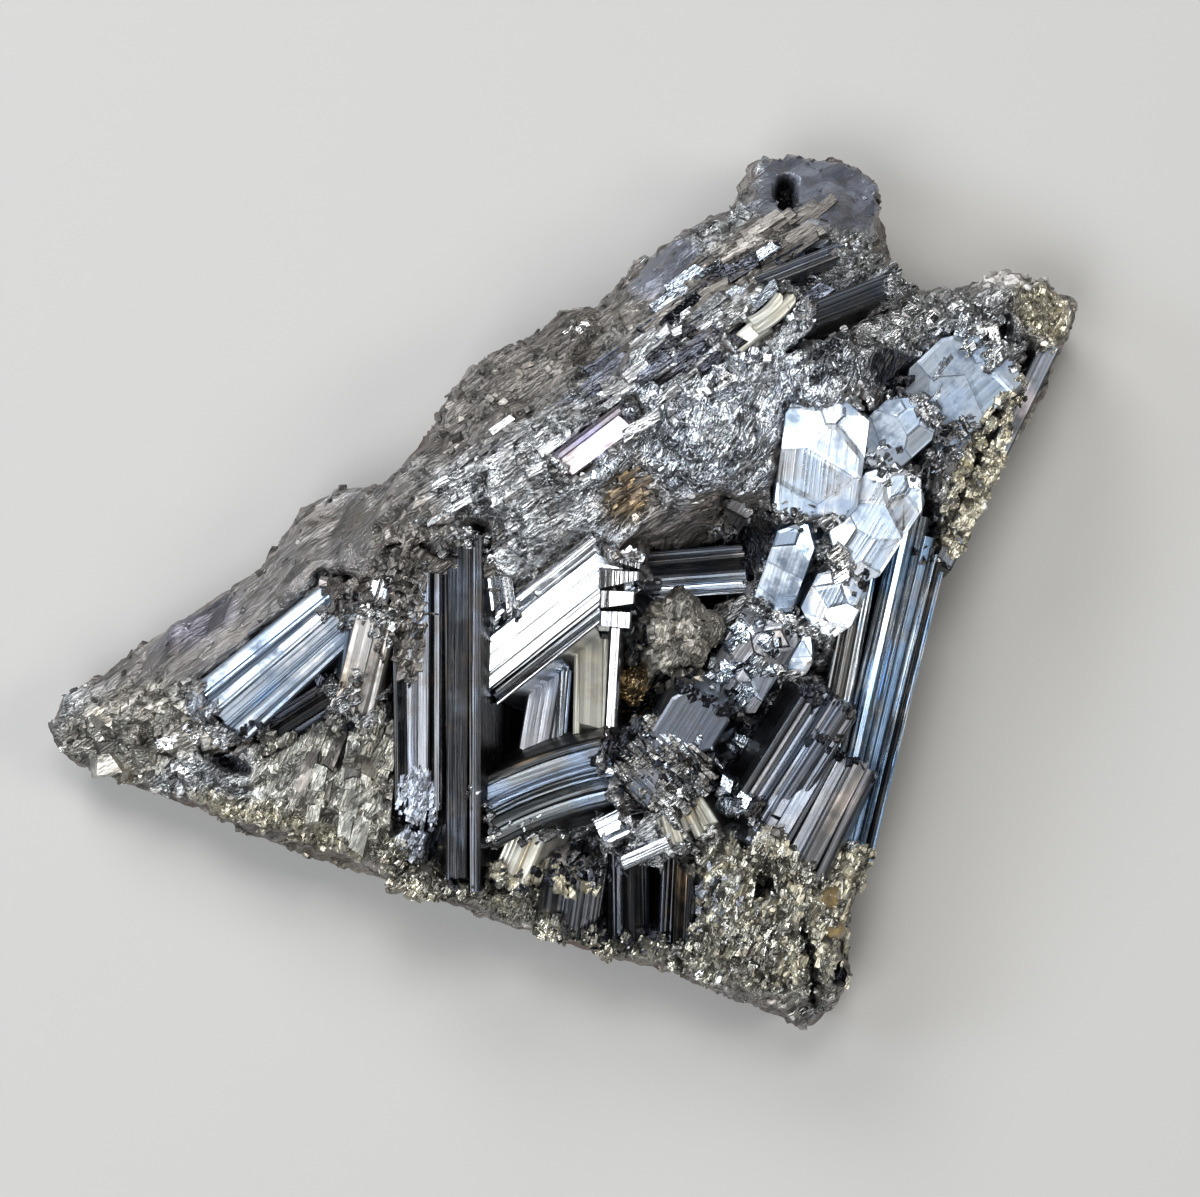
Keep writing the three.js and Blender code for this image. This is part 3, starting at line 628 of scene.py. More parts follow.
@dataclass(frozen=True)
class CrystalBox:
    """The crystal's own box, in metres: x across its width, y up out of its face, z along its length.

    The sides of a fan lean, so the places of its left and right side are kept for its foot and its head.
    """

    turn: Matrix
    low: Vector
    high: Vector
    foot_sides: Pair
    head_sides: Pair

    STRICTNESS = 12
    FLATNESS = math.radians(1.0)
    SIDEWAYS = 0.35
    FACE_DEPTH = 1.9 * MM
    SECTIONS = (0.3, 0.62)

    @classmethod
    def of_node(cls, node: str, heading: Vector, leaning: bool) -> "CrystalBox":
        """Finds the axes of a node from its long edges and its upper faces.

        Args:
            node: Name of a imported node.
            heading: Rough direction of its length.
            leaning: Whether its sides lean, as a fan's do.

        Returns:
            The box.
        """
        bm = merged_copy(node)
        bmesh.ops.dissolve_limit(bm, angle_limit=cls.FLATNESS, verts=bm.verts, edges=bm.edges)
        pull = np.zeros((3, 3))
        hint = np.array(heading.normalized())
        for edge in bm.edges:
            span = np.array(edge.verts[1].co - edge.verts[0].co)
            size = float(np.linalg.norm(span))
            pull += np.outer(span, span) * size**3 * (abs(span @ hint) / size) ** cls.STRICTNESS
        along = Vector(np.linalg.eigh(pull)[1][:, 2])
        if along.dot(heading) < 0:
            along.negate()
        up = Vector()
        for face in bm.faces:
            if abs(face.normal.dot(along)) < cls.SIDEWAYS:
                up += face.normal * face.calc_area() * max(face.normal.z, 0.0) ** 3
        up = (up - along * up.dot(along)).normalized()
        across = up.cross(along)
        turn = Matrix((across, up, along))
        bm.transform(turn.to_4x4())
        points = np.array([v.co for v in bm.verts])
        face = points[points[:, 1] > points[:, 1].max() - cls.FACE_DEPTH]
        low, high = Vector(face.min(0)), Vector(face.max(0))
        low.y = points[:, 1].min()
        foot_sides = head_sides = (low.x, high.x)
        if leaning:
            near, far = (cls.sides_at(bm, low.z + share * (high.z - low.z)) for share in cls.SECTIONS)
            slope = [(b - a) / (cls.SECTIONS[1] - cls.SECTIONS[0]) for a, b in zip(near, far)]
            foot_sides = tuple(a - s * cls.SECTIONS[0] for a, s in zip(near, slope))
            head_sides = tuple(a + s * (1 - cls.SECTIONS[0]) for a, s in zip(near, slope))
        bm.free()
        return cls(turn, low, high, foot_sides, head_sides)

    @classmethod
    def sides_at(cls, bm: Shape, z: float) -> Pair:
        """The left and right side of the upper part of a crystal, where a plane crosses it."""
        cut = bm.copy()
        found = cut_through(cut, (0, 0, z), (0, 0, 1))
        corners = [v.co.copy() for v in found if isinstance(v, bmesh.types.BMVert)]
        cut.free()
        top = max(co.y for co in corners)
        upper = [co.x for co in corners if co.y > top - cls.FACE_DEPTH]
        return min(upper), max(upper)

    def centre(self) -> float:
        """The middle of its width."""
        return sum(self.foot_sides + self.head_sides) / 4

    def size(self) -> Vector:
        """The box's mean width, its depth and its length."""
        (left, right), (head_left, head_right) = self.foot_sides, self.head_sides
        wide = (right - left + head_right - head_left) / 2
        return Vector((wide, self.high.y - self.low.y, self.high.z - self.low.z))

    def side(self, across: float, along: float) -> float:
        """Where a share of the width lies at a share of the length, from the middle."""
        ends = [left + (right - left) * across for left, right in (self.foot_sides, self.head_sides)]
        return ends[0] + (ends[1] - ends[0]) * along - self.centre()

    def to_place(self) -> Matrix:
        """The transform from the crystal's own frame, with its origin at the top middle of the foot."""
        foot = Vector((self.centre(), self.high.y, self.low.z))
        return Matrix.Translation(self.turn.transposed() @ foot) @ self.turn.transposed().to_4x4()


@lru_cache(maxsize=None)
def crystal_box(node: str, heading: Triple, leaning: bool = False) -> CrystalBox:
    """The box of a node, worked out once."""
    return CrystalBox.of_node(node, Vector(heading), leaning)


class PieceBuilder:
    """Collects shapes made by operators into one mesh, in a crystal's own frame."""

    def __init__(self) -> None:
        """Starts an empty piece."""
        self.bm = bmesh.new()
        self.scratch = bpy.data.meshes.new("scratch")
        self.tones: list[float] = []

    def add(self, shape: Shape, tone: float) -> None:
        """Adds a shape and frees it.

        Args:
            shape: The shape, in the crystal's frame.
            tone: A number from 0 to 1 that picks its tarnish.
        """
        shape.to_mesh(self.scratch)
        self.tones.extend([tone] * len(shape.verts))
        shape.free()
        self.bm.from_mesh(self.scratch)

    def finish(self, name: str, place: Matrix, material: Material) -> Piece:
        """Makes the object, with its streak map and tones.

        Args:
            name: The object's name.
            place: The transform from the crystal's frame to the specimen's.
            material: The finish.

        Returns:
            The object, at the origin, with its place in its mesh.
        """
        streak = self.bm.loops.layers.uv.new(GRAIN_MAP)
        for face in self.bm.faces:
            for loop in face.loops:
                co = loop.vert.co
                loop[streak].uv = ((co.x + co.y) / MM, co.z / MM)
        self.bm.transform(place)
        mesh = mesh_from(self.bm, name, material)
        bpy.data.meshes.remove(self.scratch)
        tone = mesh.attributes.new(TONE, "FLOAT", "POINT")
        tone.data.foreach_set("value", self.tones)
        return put_in_scene(name, mesh)


def cut_through(bm: Shape, point: Vector | Triple, normal: Vector | Triple, **more) -> list:
    """Cuts a shape along a plane, and returns the corners and edges on the cut."""
    geometry = bm.verts[:] + bm.edges[:] + bm.faces[:]
    return bmesh.ops.bisect_plane(
        bm, geom=geometry, dist=TOLERANCE, plane_co=point, plane_no=normal, **more
    )["geom_cut"]


def bevel_edges(bm: Shape, edges: list, offset: float) -> None:
    """Bevels edges with one flat strip."""
    bmesh.ops.bevel(
        bm, geom=edges, offset=offset, offset_type="OFFSET", affect="EDGES", segments=1, profile=0.5,
        material=-1,
    )


def add_block(bm: Shape, size: Vector) -> None:
    """Adds a block whose length starts at the origin and whose upper face passes through it."""
    bmesh.ops.create_cube(bm, size=1.0)
    bmesh.ops.scale(bm, vec=size, verts=bm.verts)
    bmesh.ops.translate(bm, vec=(0, -size.y / 2, size.z / 2), verts=bm.verts)


def slice_off(bm: Shape, point: Vector, normal: Vector) -> None:
    """Cuts off what lies beyond a plane and closes the cut.

    Args:
        bm: The closed shape.
        point: A point on the plane.
        normal: The side that is cut off.
    """
    cut_through(bm, point, normal, clear_outer=True)
    rim = [edge for edge in bm.edges if edge.is_boundary]
    if rim:
        bmesh.ops.edgeloop_fill(bm, edges=rim)
        bm.normal_update()


class Tip(Enum):
    """How a lath ends."""

    CUT = "cut"
    ROOF = "roof"


@dataclass(frozen=True)
class Lath:
    """One lath: a long prism with bevelled upper edges, grooves along its face and a cut end."""

    wide: float
    deep: float
    length: float
    grooves: int = 3
    groove_depth: float = 0.06 * MM
    bevel: float = 0.12 * MM
    widest_bevel: float = 0.24
    tip: Tip = Tip.CUT
    bow: float = 0.0
    bends: int = 8
    taper: float = 1.0

    def build(self, rng: random.Random) -> Shape:
        """Args:
            rng: Source of the lath's small irregularities.

        Returns:
            The shape, with the middle of its upper face's foot at the origin and its length along +Z.
        """
        bm = bmesh.new()
        add_block(bm, Vector((self.wide, self.deep, self.length)))
        top = [e for e in bm.edges if all(v.co.y > -TOLERANCE for v in e.verts)]
        offset = min(self.bevel, self.widest_bevel * self.wide)
        bevel_edges(bm, [e for e in top if abs(e.verts[0].co.z - e.verts[1].co.z) > TOLERANCE], offset)
        self.groove(bm, offset, rng)
        self.end(bm, rng)
        if self.bow:
            self.bend(bm)
        for vert in bm.verts:
            vert.co.x *= 1 + (self.taper - 1) * vert.co.z / self.length
        return bm

    def groove(self, bm: Shape, margin: float, rng: random.Random) -> None:
        """Cuts the upper face lengthwise and sets the cuts at different heights."""
        room = self.wide / 2 - margin
        for i in range(self.grooves):
            share = (i + 0.5 + rng.uniform(-0.3, 0.3)) / self.grooves
            x = -room + 2 * room * share
            cut_through(bm, (x, 0, 0), (1, 0, 0))
            shift = self.groove_depth * (rng.uniform(0.3, 1.0) if i % 2 == 0 else rng.uniform(-0.4, 0.1))
            for vert in bm.verts:
                if abs(vert.co.x - x) < TOLERANCE * 10 and vert.co.y > -margin / 2:
                    vert.co.y -= shift

    def end(self, bm: Shape, rng: random.Random) -> None:
        """Cuts the far end."""
        slant = rng.uniform(-0.5, 0.5)
        top = Vector((0, 0, self.length))
        if self.tip is Tip.CUT:
            slice_off(bm, top - Vector((0, 0, 0.25 * self.wide)), Vector((slant, 0.35, 1)).normalized())
        if self.tip is Tip.ROOF:
            for side in (-1, 1):
                point = top + Vector((0, 0, 0.3 * self.wide))
                slice_off(bm, point, Vector((side * rng.uniform(1.2, 2.0), 0.3, 1)).normalized())

    def bend(self, bm: Shape) -> None:
        """Bows the lath sideways."""
        for i in range(1, self.bends):
            cut_through(bm, (0, 0, self.length * i / self.bends), (0, 0, 1))
        for vert in bm.verts:
            share = vert.co.z / self.length
            vert.co.x += self.bow * 4 * share * (1 - share)


@dataclass(frozen=True)
class LathRow:
    """A row of laths side by side in a crystal's box, in shares of that box, with sizes in mm."""

    count: int
    across: Pair = (0.0, 1.0)
    foot: Pair = (0.0, 0.0)
    head: Pair = (1.0, 1.0)
    sink: Pair = (0.0, 0.0)
    drop: float = 0.25
    tilt: float = 9.0
    ragged: float = 0.06
    grooves: int = 3
    groove_depth: float = 0.06
    deep: float = 1.0
    overlap: float = 1.25
    tip: Tip = Tip.CUT
    bow: float = 0.0
    splay: float = 0.0
    roll: float = 0.0
    variety: float = 0.5
    tones: Pair = (0.0, 1.0)
    shortest: float = 0.4 * MM
    unevenness: float = 0.6

    def build(self, piece: PieceBuilder, box: CrystalBox, rng: random.Random) -> None:
        """Adds the row to a piece.

        Args:
            piece: The piece.
            box: The crystal's box.
            rng: Source of the laths' differences.
        """
        low, high = self.across
        size = box.size()
        shares = [math.exp(rng.gauss(0, self.variety)) for _ in range(self.count)]
        total = sum(shares)
        done = 0.0
        for share in shares:
            middle = (done + share / 2) / total
            across = low + (high - low) * middle
            half = (high - low) * share / total / 2
            done += share
            start = self.foot[0] + (self.foot[1] - self.foot[0]) * middle + rng.random() * self.ragged / 2
            stop = self.head[0] + (self.head[1] - self.head[0]) * middle - rng.random() * self.ragged
            wide = box.side(across + half, start) - box.side(across - half, start)
            head_wide = box.side(across + half, stop) - box.side(across - half, stop)
            x, x_head = box.side(across, start), box.side(across, stop)
            foot, length = start * size.z, max((stop - start) * size.z, self.shortest)
            lath = Lath(
                wide * self.overlap, size.y * self.deep, length, self.grooves,
                self.groove_depth * MM, tip=self.tip, bow=self.bow * MM, taper=head_wide / wide,
            )
            shape = lath.build(rng)
            turn = math.radians(self.roll + rng.uniform(-self.tilt, self.tilt))
            uneven = rng.uniform(-self.unevenness, self.unevenness)
            lean = math.radians(self.splay * (middle - 0.5) + uneven)
            lean += math.atan2(x_head - x, length)
            sink = (self.sink[0] + (self.sink[1] - self.sink[0]) * middle + rng.random() * self.drop) * MM
            place = (
                Matrix.Translation((x, -sink, foot))
                @ Matrix.Rotation(lean, 4, "Y")
                @ Matrix.Rotation(turn, 4, "Z")
            )
            shape.transform(place)
            piece.add(shape, rng.uniform(*self.tones))


@dataclass(frozen=True)
class Crystal:
    """A crystal that stands for one node, and the shares of its foot and head that are under crust."""

    node: str
    finish: Finish
    rows: tuple
    heading: Triple = (0.0, -1.0, 0.0)
    crusted: Pair = (1.0, 1.0)
    leaning: bool = False

    SUFFIX = ""

    def box(self) -> CrystalBox:
        """The crystal's box."""
        return crystal_box(self.node, self.heading, self.leaning)

    def build(self, materials: dict, seed: int) -> Piece:
        """Args:
            materials: Finish to material.
            seed: Start of the random numbers.

        Returns:
            The object that stands for the node.
        """
        box = self.box()
        piece = PieceBuilder()
        self.fill(piece, box, random.Random(seed))
        return piece.finish(self.node + self.SUFFIX, box.to_place(), materials[self.finish])

    def fill(self, piece: PieceBuilder, box: CrystalBox, rng: random.Random) -> None:
        """Adds the crystal's shapes to its piece.

        Args:
            piece: The piece.
            box: The crystal's box.
            rng: Source of the shapes' differences.
        """
        raise NotImplementedError


@dataclass(frozen=True)
class Blades(Crystal):
    """A crystal of rows of laths."""

    SUFFIX = "_blades"

    def fill(self, piece: PieceBuilder, box: CrystalBox, rng: random.Random) -> None:
        """Adds its rows of laths."""
        for row in self.rows:
            row.build(piece, box, rng)


@dataclass(frozen=True)
class Block(Crystal):
    """A blocky crystal that is broken into plates: rows of cells with slanted tops and sharp rims.

    Each row is its place along the block and the number of cells in it.
    """

    crusted: Pair = (0.4, 0.4)
    corner: float = 1.0
    gap: float = -0.03 * MM
    drop: float = 0.16 * MM
    tilt: float = 2.6
    rim: float = 0.025 * MM
    wander: float = 0.13
    step: float = 0.06 * MM
    upward: float = 0.9
    large: float = 0.9 * MM
    insets: Pair = (0.1, 0.4)

    SUFFIX = "_block"

    def fill(self, piece: PieceBuilder, box: CrystalBox, rng: random.Random) -> None:
        """Adds its cells."""
        size = box.size()
        seeds = self.seeds(size, rng)
        corners = self.corners(size, rng)
        for i, own in enumerate(seeds):
            cell = self.cell(own, seeds[:i] + seeds[i + 1:], size, corners, rng)
            if cell.faces:
                piece.add(cell, rng.random())

    def seeds(self, size: Vector, rng: random.Random) -> list[Vector]:
        """The middles of the cells."""
        found = []
        for along, count in self.rows:
            for i in range(count):
                x = ((i + 0.5 + rng.uniform(-self.wander, self.wander)) / count - 0.5) * size.x
                z = (along + rng.uniform(-0.1, 0.1) * self.wander) * size.z
                found.append(Vector((x, 0, z)))
        return found

    def corners(self, size: Vector, rng: random.Random) -> list[tuple[Vector, Vector]]:
        """The planes that cut the corners of the outline."""
        planes = []
        for side in (-1, 1):
            for end in (0, 1):
                cut = self.corner * MM * rng.uniform(0.3, 1.2)
                slope = rng.uniform(0.5, 1.8)
                normal = Vector((side * slope, rng.uniform(0, 0.25), 2 * end - 1)).normalized()
                tip = Vector((side * size.x / 2, 0, size.z * end))
                planes.append((tip - normal * cut, normal))
        return planes

    def cell(
        self, own: Vector, others: list, size: Vector, corners: list, rng: random.Random
    ) -> Shape:
        """Cuts one cell out of the block, and slants and lowers it.

        Args:
            own: The middle of the cell.
            others: The middles of the other cells.
            size: The block's size.
            corners: The planes that cut the outline.
            rng: Source of its slant.

        Returns:
            The cell.
        """
        bm = bmesh.new()
        add_block(bm, size)
        for other in others:
            way = (other - own).normalized()
            slice_off(bm, (own + other) / 2 - way * self.gap, way)
        for point, normal in corners:
            slice_off(bm, point, normal)
        top = [e for f in bm.faces if f.normal.y > self.upward for e in f.edges]
        if top:
            bevel_edges(bm, top, self.rim * rng.uniform(0.6, 1.6))
        large = [f for f in bm.faces if f.normal.y > self.upward and f.calc_area() > self.large**2]
        for face in large:
            inset, depth = rng.uniform(*self.insets) * MM, rng.uniform(-0.5, 1.0) * self.step
            bmesh.ops.inset_individual(bm, faces=[face], thickness=inset, depth=depth)
        tilts = [math.radians(rng.uniform(-self.tilt, self.tilt)) for _ in range(2)]
        turn = Matrix.Rotation(tilts[0], 3, "X") @ Matrix.Rotation(tilts[1], 3, "Z")
        bmesh.ops.rotate(bm, verts=bm.verts, cent=own, matrix=turn)
        bmesh.ops.translate(bm, vec=(0, -rng.random() * self.drop, 0), verts=bm.verts)
        return bm


# ------------------------------------------------------------
# The stone and its grains
# ------------------------------------------------------------
@dataclass(frozen=True)
class Crust:
    """What the stone's surface is like in one patch."""

    tint: Triple
    metallic: float
    roughness: float
    facet: float
    knob: float
    density: float
    grain: float
    angle: float


class Kind(Enum):
    """The kinds of surface of the stone."""

    RIDGE = Crust((0.52, 0.54, 0.56), 0.95, 0.27, 0.95, 0.8, 0.5, 0.8, 35)
    COOL = Crust((0.68, 0.73, 0.8), 1.0, 0.23, 0.9, 0.65, 0.6, 0.7, 62)
    BROWN = Crust((0.27, 0.255, 0.24), 0.75, 0.36, 0.8, 0.6, 0.7, 0.7, 33)
    COLUMN = Crust((0.44, 0.435, 0.39), 0.8, 0.32, 0.75, 0.8, 0.5, 0.8, 76)
    FROST = Crust((0.5, 0.55, 0.64), 0.7, 0.32, 0.7, 0.4, 3.0, 0.5, 64)
    WING = Crust((0.2, 0.19, 0.185), 0.65, 0.36, 0.35, 0.2, 0.3, 0.4, 30)
    VIOLET = Crust((0.175, 0.17, 0.205), 0.7, 0.33, 0.3, 0.2, 0.3, 0.4, 30)
    SMOKY = Crust((0.16, 0.175, 0.22), 0.35, 0.25, 0.15, 0.15, 0.5, 0.4, 30)
    WHITE = Crust((0.78, 0.76, 0.74), 0.15, 0.4, 0.5, 0.35, 4.0, 0.5, 30)
    BRASSY = Crust((0.7, 0.66, 0.53), 0.85, 0.3, 1.0, 0.4, 9.0, 0.5, 68)
    DRUSE = Crust((0.5, 0.49, 0.43), 0.88, 0.26, 1.0, 0.9, 4.5, 0.8, 70)
    TIP = Crust((0.37, 0.36, 0.33), 0.85, 0.3, 0.7, 0.8, 1.2, 0.8, 20)
    # Near-black, painted as shade in the pocket, the hollows and the pits.
    DEEP = Crust((0.045, 0.05, 0.065), 0.9, 0.3, 0.8, 0.3, 0.6, 0.7, 80)
    RIND = Crust((0.1, 0.056, 0.043), 0.15, 0.36, 0.3, 0.25, 0.2, 0.5, 0)
    # SILVER, STEEL and SHADOW are one stibnite at three brightnesses: SILVER is painted highlight and SHADOW
    # painted shade.
    SILVER = Crust((0.9, 0.92, 0.95), 1.0, 0.16, 0.1, 0.3, 5.0, 0.6, 40)
    STEEL = Crust((0.5, 0.57, 0.66), 1.0, 0.2, 0.1, 0.3, 5.0, 0.6, 36)
    SHADOW = Crust((0.1, 0.11, 0.14), 1.0, 0.2, 0.1, 0.3, 5.0, 0.6, 38)
    EARTHY = Crust((0.34, 0.325, 0.29), 0.6, 0.32, 0.7, 0.4, 5.0, 0.5, 60)
    PLEATED = Crust((0.24, 0.24, 0.235), 0.9, 0.27, 0.7, 0.4, 5.0, 0.5, 60)
    GOLD = Crust((0.5, 0.37, 0.2), 1.0, 0.28, 0.3, 0.3, 5.0, 0.4, 25)
    BRONZE = Crust((0.24, 0.185, 0.125), 0.95, 0.28, 1.0, 0.6, 1.0, 0.5, 25)
    CREAM = Crust((0.66, 0.62, 0.48), 0.6, 0.33, 0.3, 0.3, 5.0, 0.4, 45)
    BROKEN = Crust((0.27, 0.25, 0.24), 0.6, 0.42, 0.8, 0.4, 3.5, 0.6, 0)


@dataclass(frozen=True)
class Patch:
    """A soft oval patch of one kind, placed in shares of the footprint, with its radii in mm."""

    kind: Kind
    centre: Pair
    radii: Pair
    turn: float = 0.0
    soft: float = 0.5


@dataclass(frozen=True)
class Pit:
    """A hole or slot, sunk into the stone and painted near-black as shade, placed in shares of the footprint,
    with its radii and depth in mm.
    """

    centre: Pair
    radii: Pair
    turn: float
    depth: float


class CrustMap:
    """Says which kind of surface the stone has at a point."""

    patches = (
        Patch(Kind.COOL, (0.62, 0.63), (9.0, 5.0), 38),
        Patch(Kind.COOL, (0.74, 0.68), (4.0, 6.0), 20),
        Patch(Kind.BROWN, (0.45, 0.72), (12.0, 3.5), 36),
        Patch(Kind.BROWN, (0.66, 0.84), (8.0, 2.5), 34),
        Patch(Kind.BROWN, (0.33, 0.53), (5.0, 4.6), 30),
        Patch(Kind.WING, (0.18, 0.48), (15.0, 4.2), 34),
        Patch(Kind.VIOLET, (0.14, 0.45), (3.0, 1.5), 30, 0.9),
        Patch(Kind.VIOLET, (0.215, 0.57), (2.4, 1.2), 36, 0.9),
        Patch(Kind.TIP, (0.07, 0.33), (6.5, 3.4), 10),
        Patch(Kind.COLUMN, (0.29, 0.27), (7.5, 4.4), -18),
        Patch(Kind.FROST, (0.155, 0.358), (1.6, 1.1), 30),
        Patch(Kind.FROST, (0.36, 0.243), (1.7, 3.8), 0),
        Patch(Kind.SMOKY, (0.75, 0.95), (5.6, 4.2), 0),
        Patch(Kind.SMOKY, (0.6, 0.85), (3.0, 1.8), 45),
        Patch(Kind.WHITE, (0.94, 0.85), (3.6, 1.3), 8),
        Patch(Kind.BRASSY, (0.97, 0.81), (3.0, 3.2), 0),
        Patch(Kind.BRASSY, (0.91, 0.63), (7.5, 1.9), 66),
        Patch(Kind.BRONZE, (0.5575, 0.57), (2.2, 1.6), 25, 1.2),
        Patch(Kind.BRASSY, (0.36, 0.16), (20.0, 1.8), -19),
        Patch(Kind.DRUSE, (0.7, 0.11), (8.0, 6.5), 0),
        Patch(Kind.DRUSE, (0.79, 0.17), (1.6, 3.4), -10),
        Patch(Kind.DRUSE, (0.45, 0.14), (12.0, 1.6), -19),
        # Near-black painted shade in the pocket and the hollows.
        Patch(Kind.DEEP, (0.48, 0.37), (7.5, 6.0), 0, 0.25),
        Patch(Kind.DEEP, (0.635, 0.505), (5.5, 2.3), 30, 0.3),
        Patch(Kind.DEEP, (0.62, 0.36), (6.0, 6.0), 0, 0.3),
        Patch(Kind.DEEP, (0.8, 0.42), (14.0, 2.6), 76, 0.25),
        Patch(Kind.DEEP, (0.71, 0.3), (6.0, 4.0), 60, 0.3),
        Patch(Kind.DEEP, (0.54, 0.16), (7.0, 2.6), -14, 0.3),
        Patch(Kind.DEEP, (0.225, 0.38), (5.0, 2.4), 38, 0.3),
        Patch(Kind.DEEP, (0.808, 0.72), (2.0, 1.4), 0, 0.3),
    )
    pits = (
        # slot in the top knob, hole by the cream flake, notch of the right knob
        Pit((0.711, 0.937), (0.8, 1.5), 0, 3.5),
        Pit((0.71, 0.743), (1.0, 0.7), 30, 3.5),
        Pit((0.921, 0.78), (0.6, 1.0), 0, 3.0),
        # holes and a long slot in the corner
        Pit((0.689, 0.149), (1.0, 0.8), 20, 4.0),
        Pit((0.731, 0.069), (3.1, 0.5), -80, 4.0),
        Pit((0.757, 0.058), (0.7, 0.8), 0, 3.0),
        # gaps between the grains along the lower edge, sunk and painted near-black as shade
        Pit((0.29, 0.31), (1.6, 0.5), 70, 3.0),
        Pit((0.17, 0.3), (2.2, 0.7), -30, 2.5),
        Pit((0.4, 0.18), (1.8, 0.5), 70, 3.0),
    )
    rind_height = 6.5 * MM
    rind_raggedness = 12 * MM
    rind_edge = 2.4 * MM
    wobble = 0.28

    def __init__(self) -> None:
        """Reads the specimen's footprint."""
        low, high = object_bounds()
        self.low, self.high = Vector(low), Vector(high)

    def at(self, across: float, up: float) -> Pair:
        """The place of two shares of the footprint."""
        low, high = self.low, self.high
        return low.x + across * (high.x - low.x), low.y + up * (high.y - low.y)

    def far(self, points: np.ndarray, patch: Patch | Pit) -> np.ndarray:
        """How far points lie from the middle of a patch or a pit: 1 is on its edge."""
        cx, cy = self.at(*patch.centre)
        turn = math.radians(patch.turn)
        dx, dy = points[:, 0] - cx, points[:, 1] - cy
        u = (dx * math.cos(turn) + dy * math.sin(turn)) / (patch.radii[0] * MM)
        v = (-dx * math.sin(turn) + dy * math.cos(turn)) / (patch.radii[1] * MM)
        return np.hypot(u, v)

    def weights(self, points: np.ndarray, normals: np.ndarray) -> np.ndarray:
        """Args:
            points: Places on the surface, in metres.
            normals: Their normals.

        Returns:
            One row for each point with the share of each kind.
        """
        kinds = list(Kind)
        shares = np.zeros((len(points), len(kinds)))
        shares[:, kinds.index(Kind.RIDGE)] = 1.0
        wobble = np.array([noise.noise(Vector(p) * 260.0) for p in points]) * self.wobble
        # Each pit is also painted near-black, as shade.
        holes = tuple(Patch(Kind.DEEP, pit.centre, pit.radii, pit.turn) for pit in self.pits)
        for patch in self.patches + holes:
            far = self.far(points, patch) + wobble
            share = np.clip((1.0 + patch.soft / 2 - far) / patch.soft, 0, 1)
            share = share * share * (3 - 2 * share)
            shares *= (1 - share)[:, None]
            shares[:, kinds.index(patch.kind)] += share
        steep = np.clip((0.62 - normals[:, 2]) / 0.25, 0, 1)
        inside = shares[:, kinds.index(Kind.DEEP)]
        steep = steep * (1 - np.clip(inside * 2, 0, 1))
        upper_edge = self.rind_height + wobble * self.rind_raggedness
        low = np.clip((upper_edge - points[:, 2]) / self.rind_edge, 0, 1)
        for kind, share in ((Kind.BROKEN, steep * (1 - low)), (Kind.RIND, steep * low)):
            shares *= (1 - share)[:, None]
            shares[:, kinds.index(kind)] += share
        return shares

    def surface(self, points: np.ndarray, normals: np.ndarray) -> dict[str, np.ndarray]:
        """Args:
            points: Places on the surface, in metres.
            normals: Their normals.

        Returns:
            Each property of the crust at each point.
        """
        shares = self.weights(points, normals)
        values = {}
        for name in Crust.__dataclass_fields__:
            column = np.array([getattr(kind.value, name) for kind in Kind], float)
            values[name] = shares @ column
        # Share of the near-black painted shade.
        values["deep"] = shares[:, list(Kind).index(Kind.DEEP)]
        return values


def mesh_arrays(mesh: bpy.types.Mesh) -> tuple[np.ndarray, np.ndarray]:
    """Args:
        mesh: A mesh.

    Returns:
        Its vertex places and vertex normals.
    """
    count = len(mesh.vertices)
    points = np.empty(count * 3)
    normals = np.empty(count * 3)
    mesh.vertices.foreach_get("co", points)
    mesh.vertex_normals.foreach_get("vector", normals)
    return points.reshape(-1, 3), normals.reshape(-1, 3)


def paint(mesh: bpy.types.Mesh, tint: np.ndarray, sheen: np.ndarray) -> None:
    """Stores the crust's colour and lustre on a mesh.

    Args:
        mesh: The mesh.
        tint: Red, green and blue for each vertex.
        sheen: Metallic, roughness, facet strength and steepness of the fibres for each vertex.
    """
    for name, values in ((TINT, tint), (SHEEN, sheen)):
        layer = mesh.attributes.new(name, "FLOAT_COLOR", "POINT")
        full = np.ones((len(values), 4), np.float32)
        full[:, :values.shape[1]] = values
        layer.data.foreach_set("color", full.ravel())


def lustre(values: dict[str, np.ndarray]) -> np.ndarray:
    """Args:
        values: The crust's values at some points.

    Returns:
        Metallic, roughness, facet strength and steepness of the fibres at those points.
    """
    steep = np.clip((values["angle"] - 38) / 20, 0, 1)
    return np.column_stack([values["metallic"], values["roughness"], values["facet"], steep])


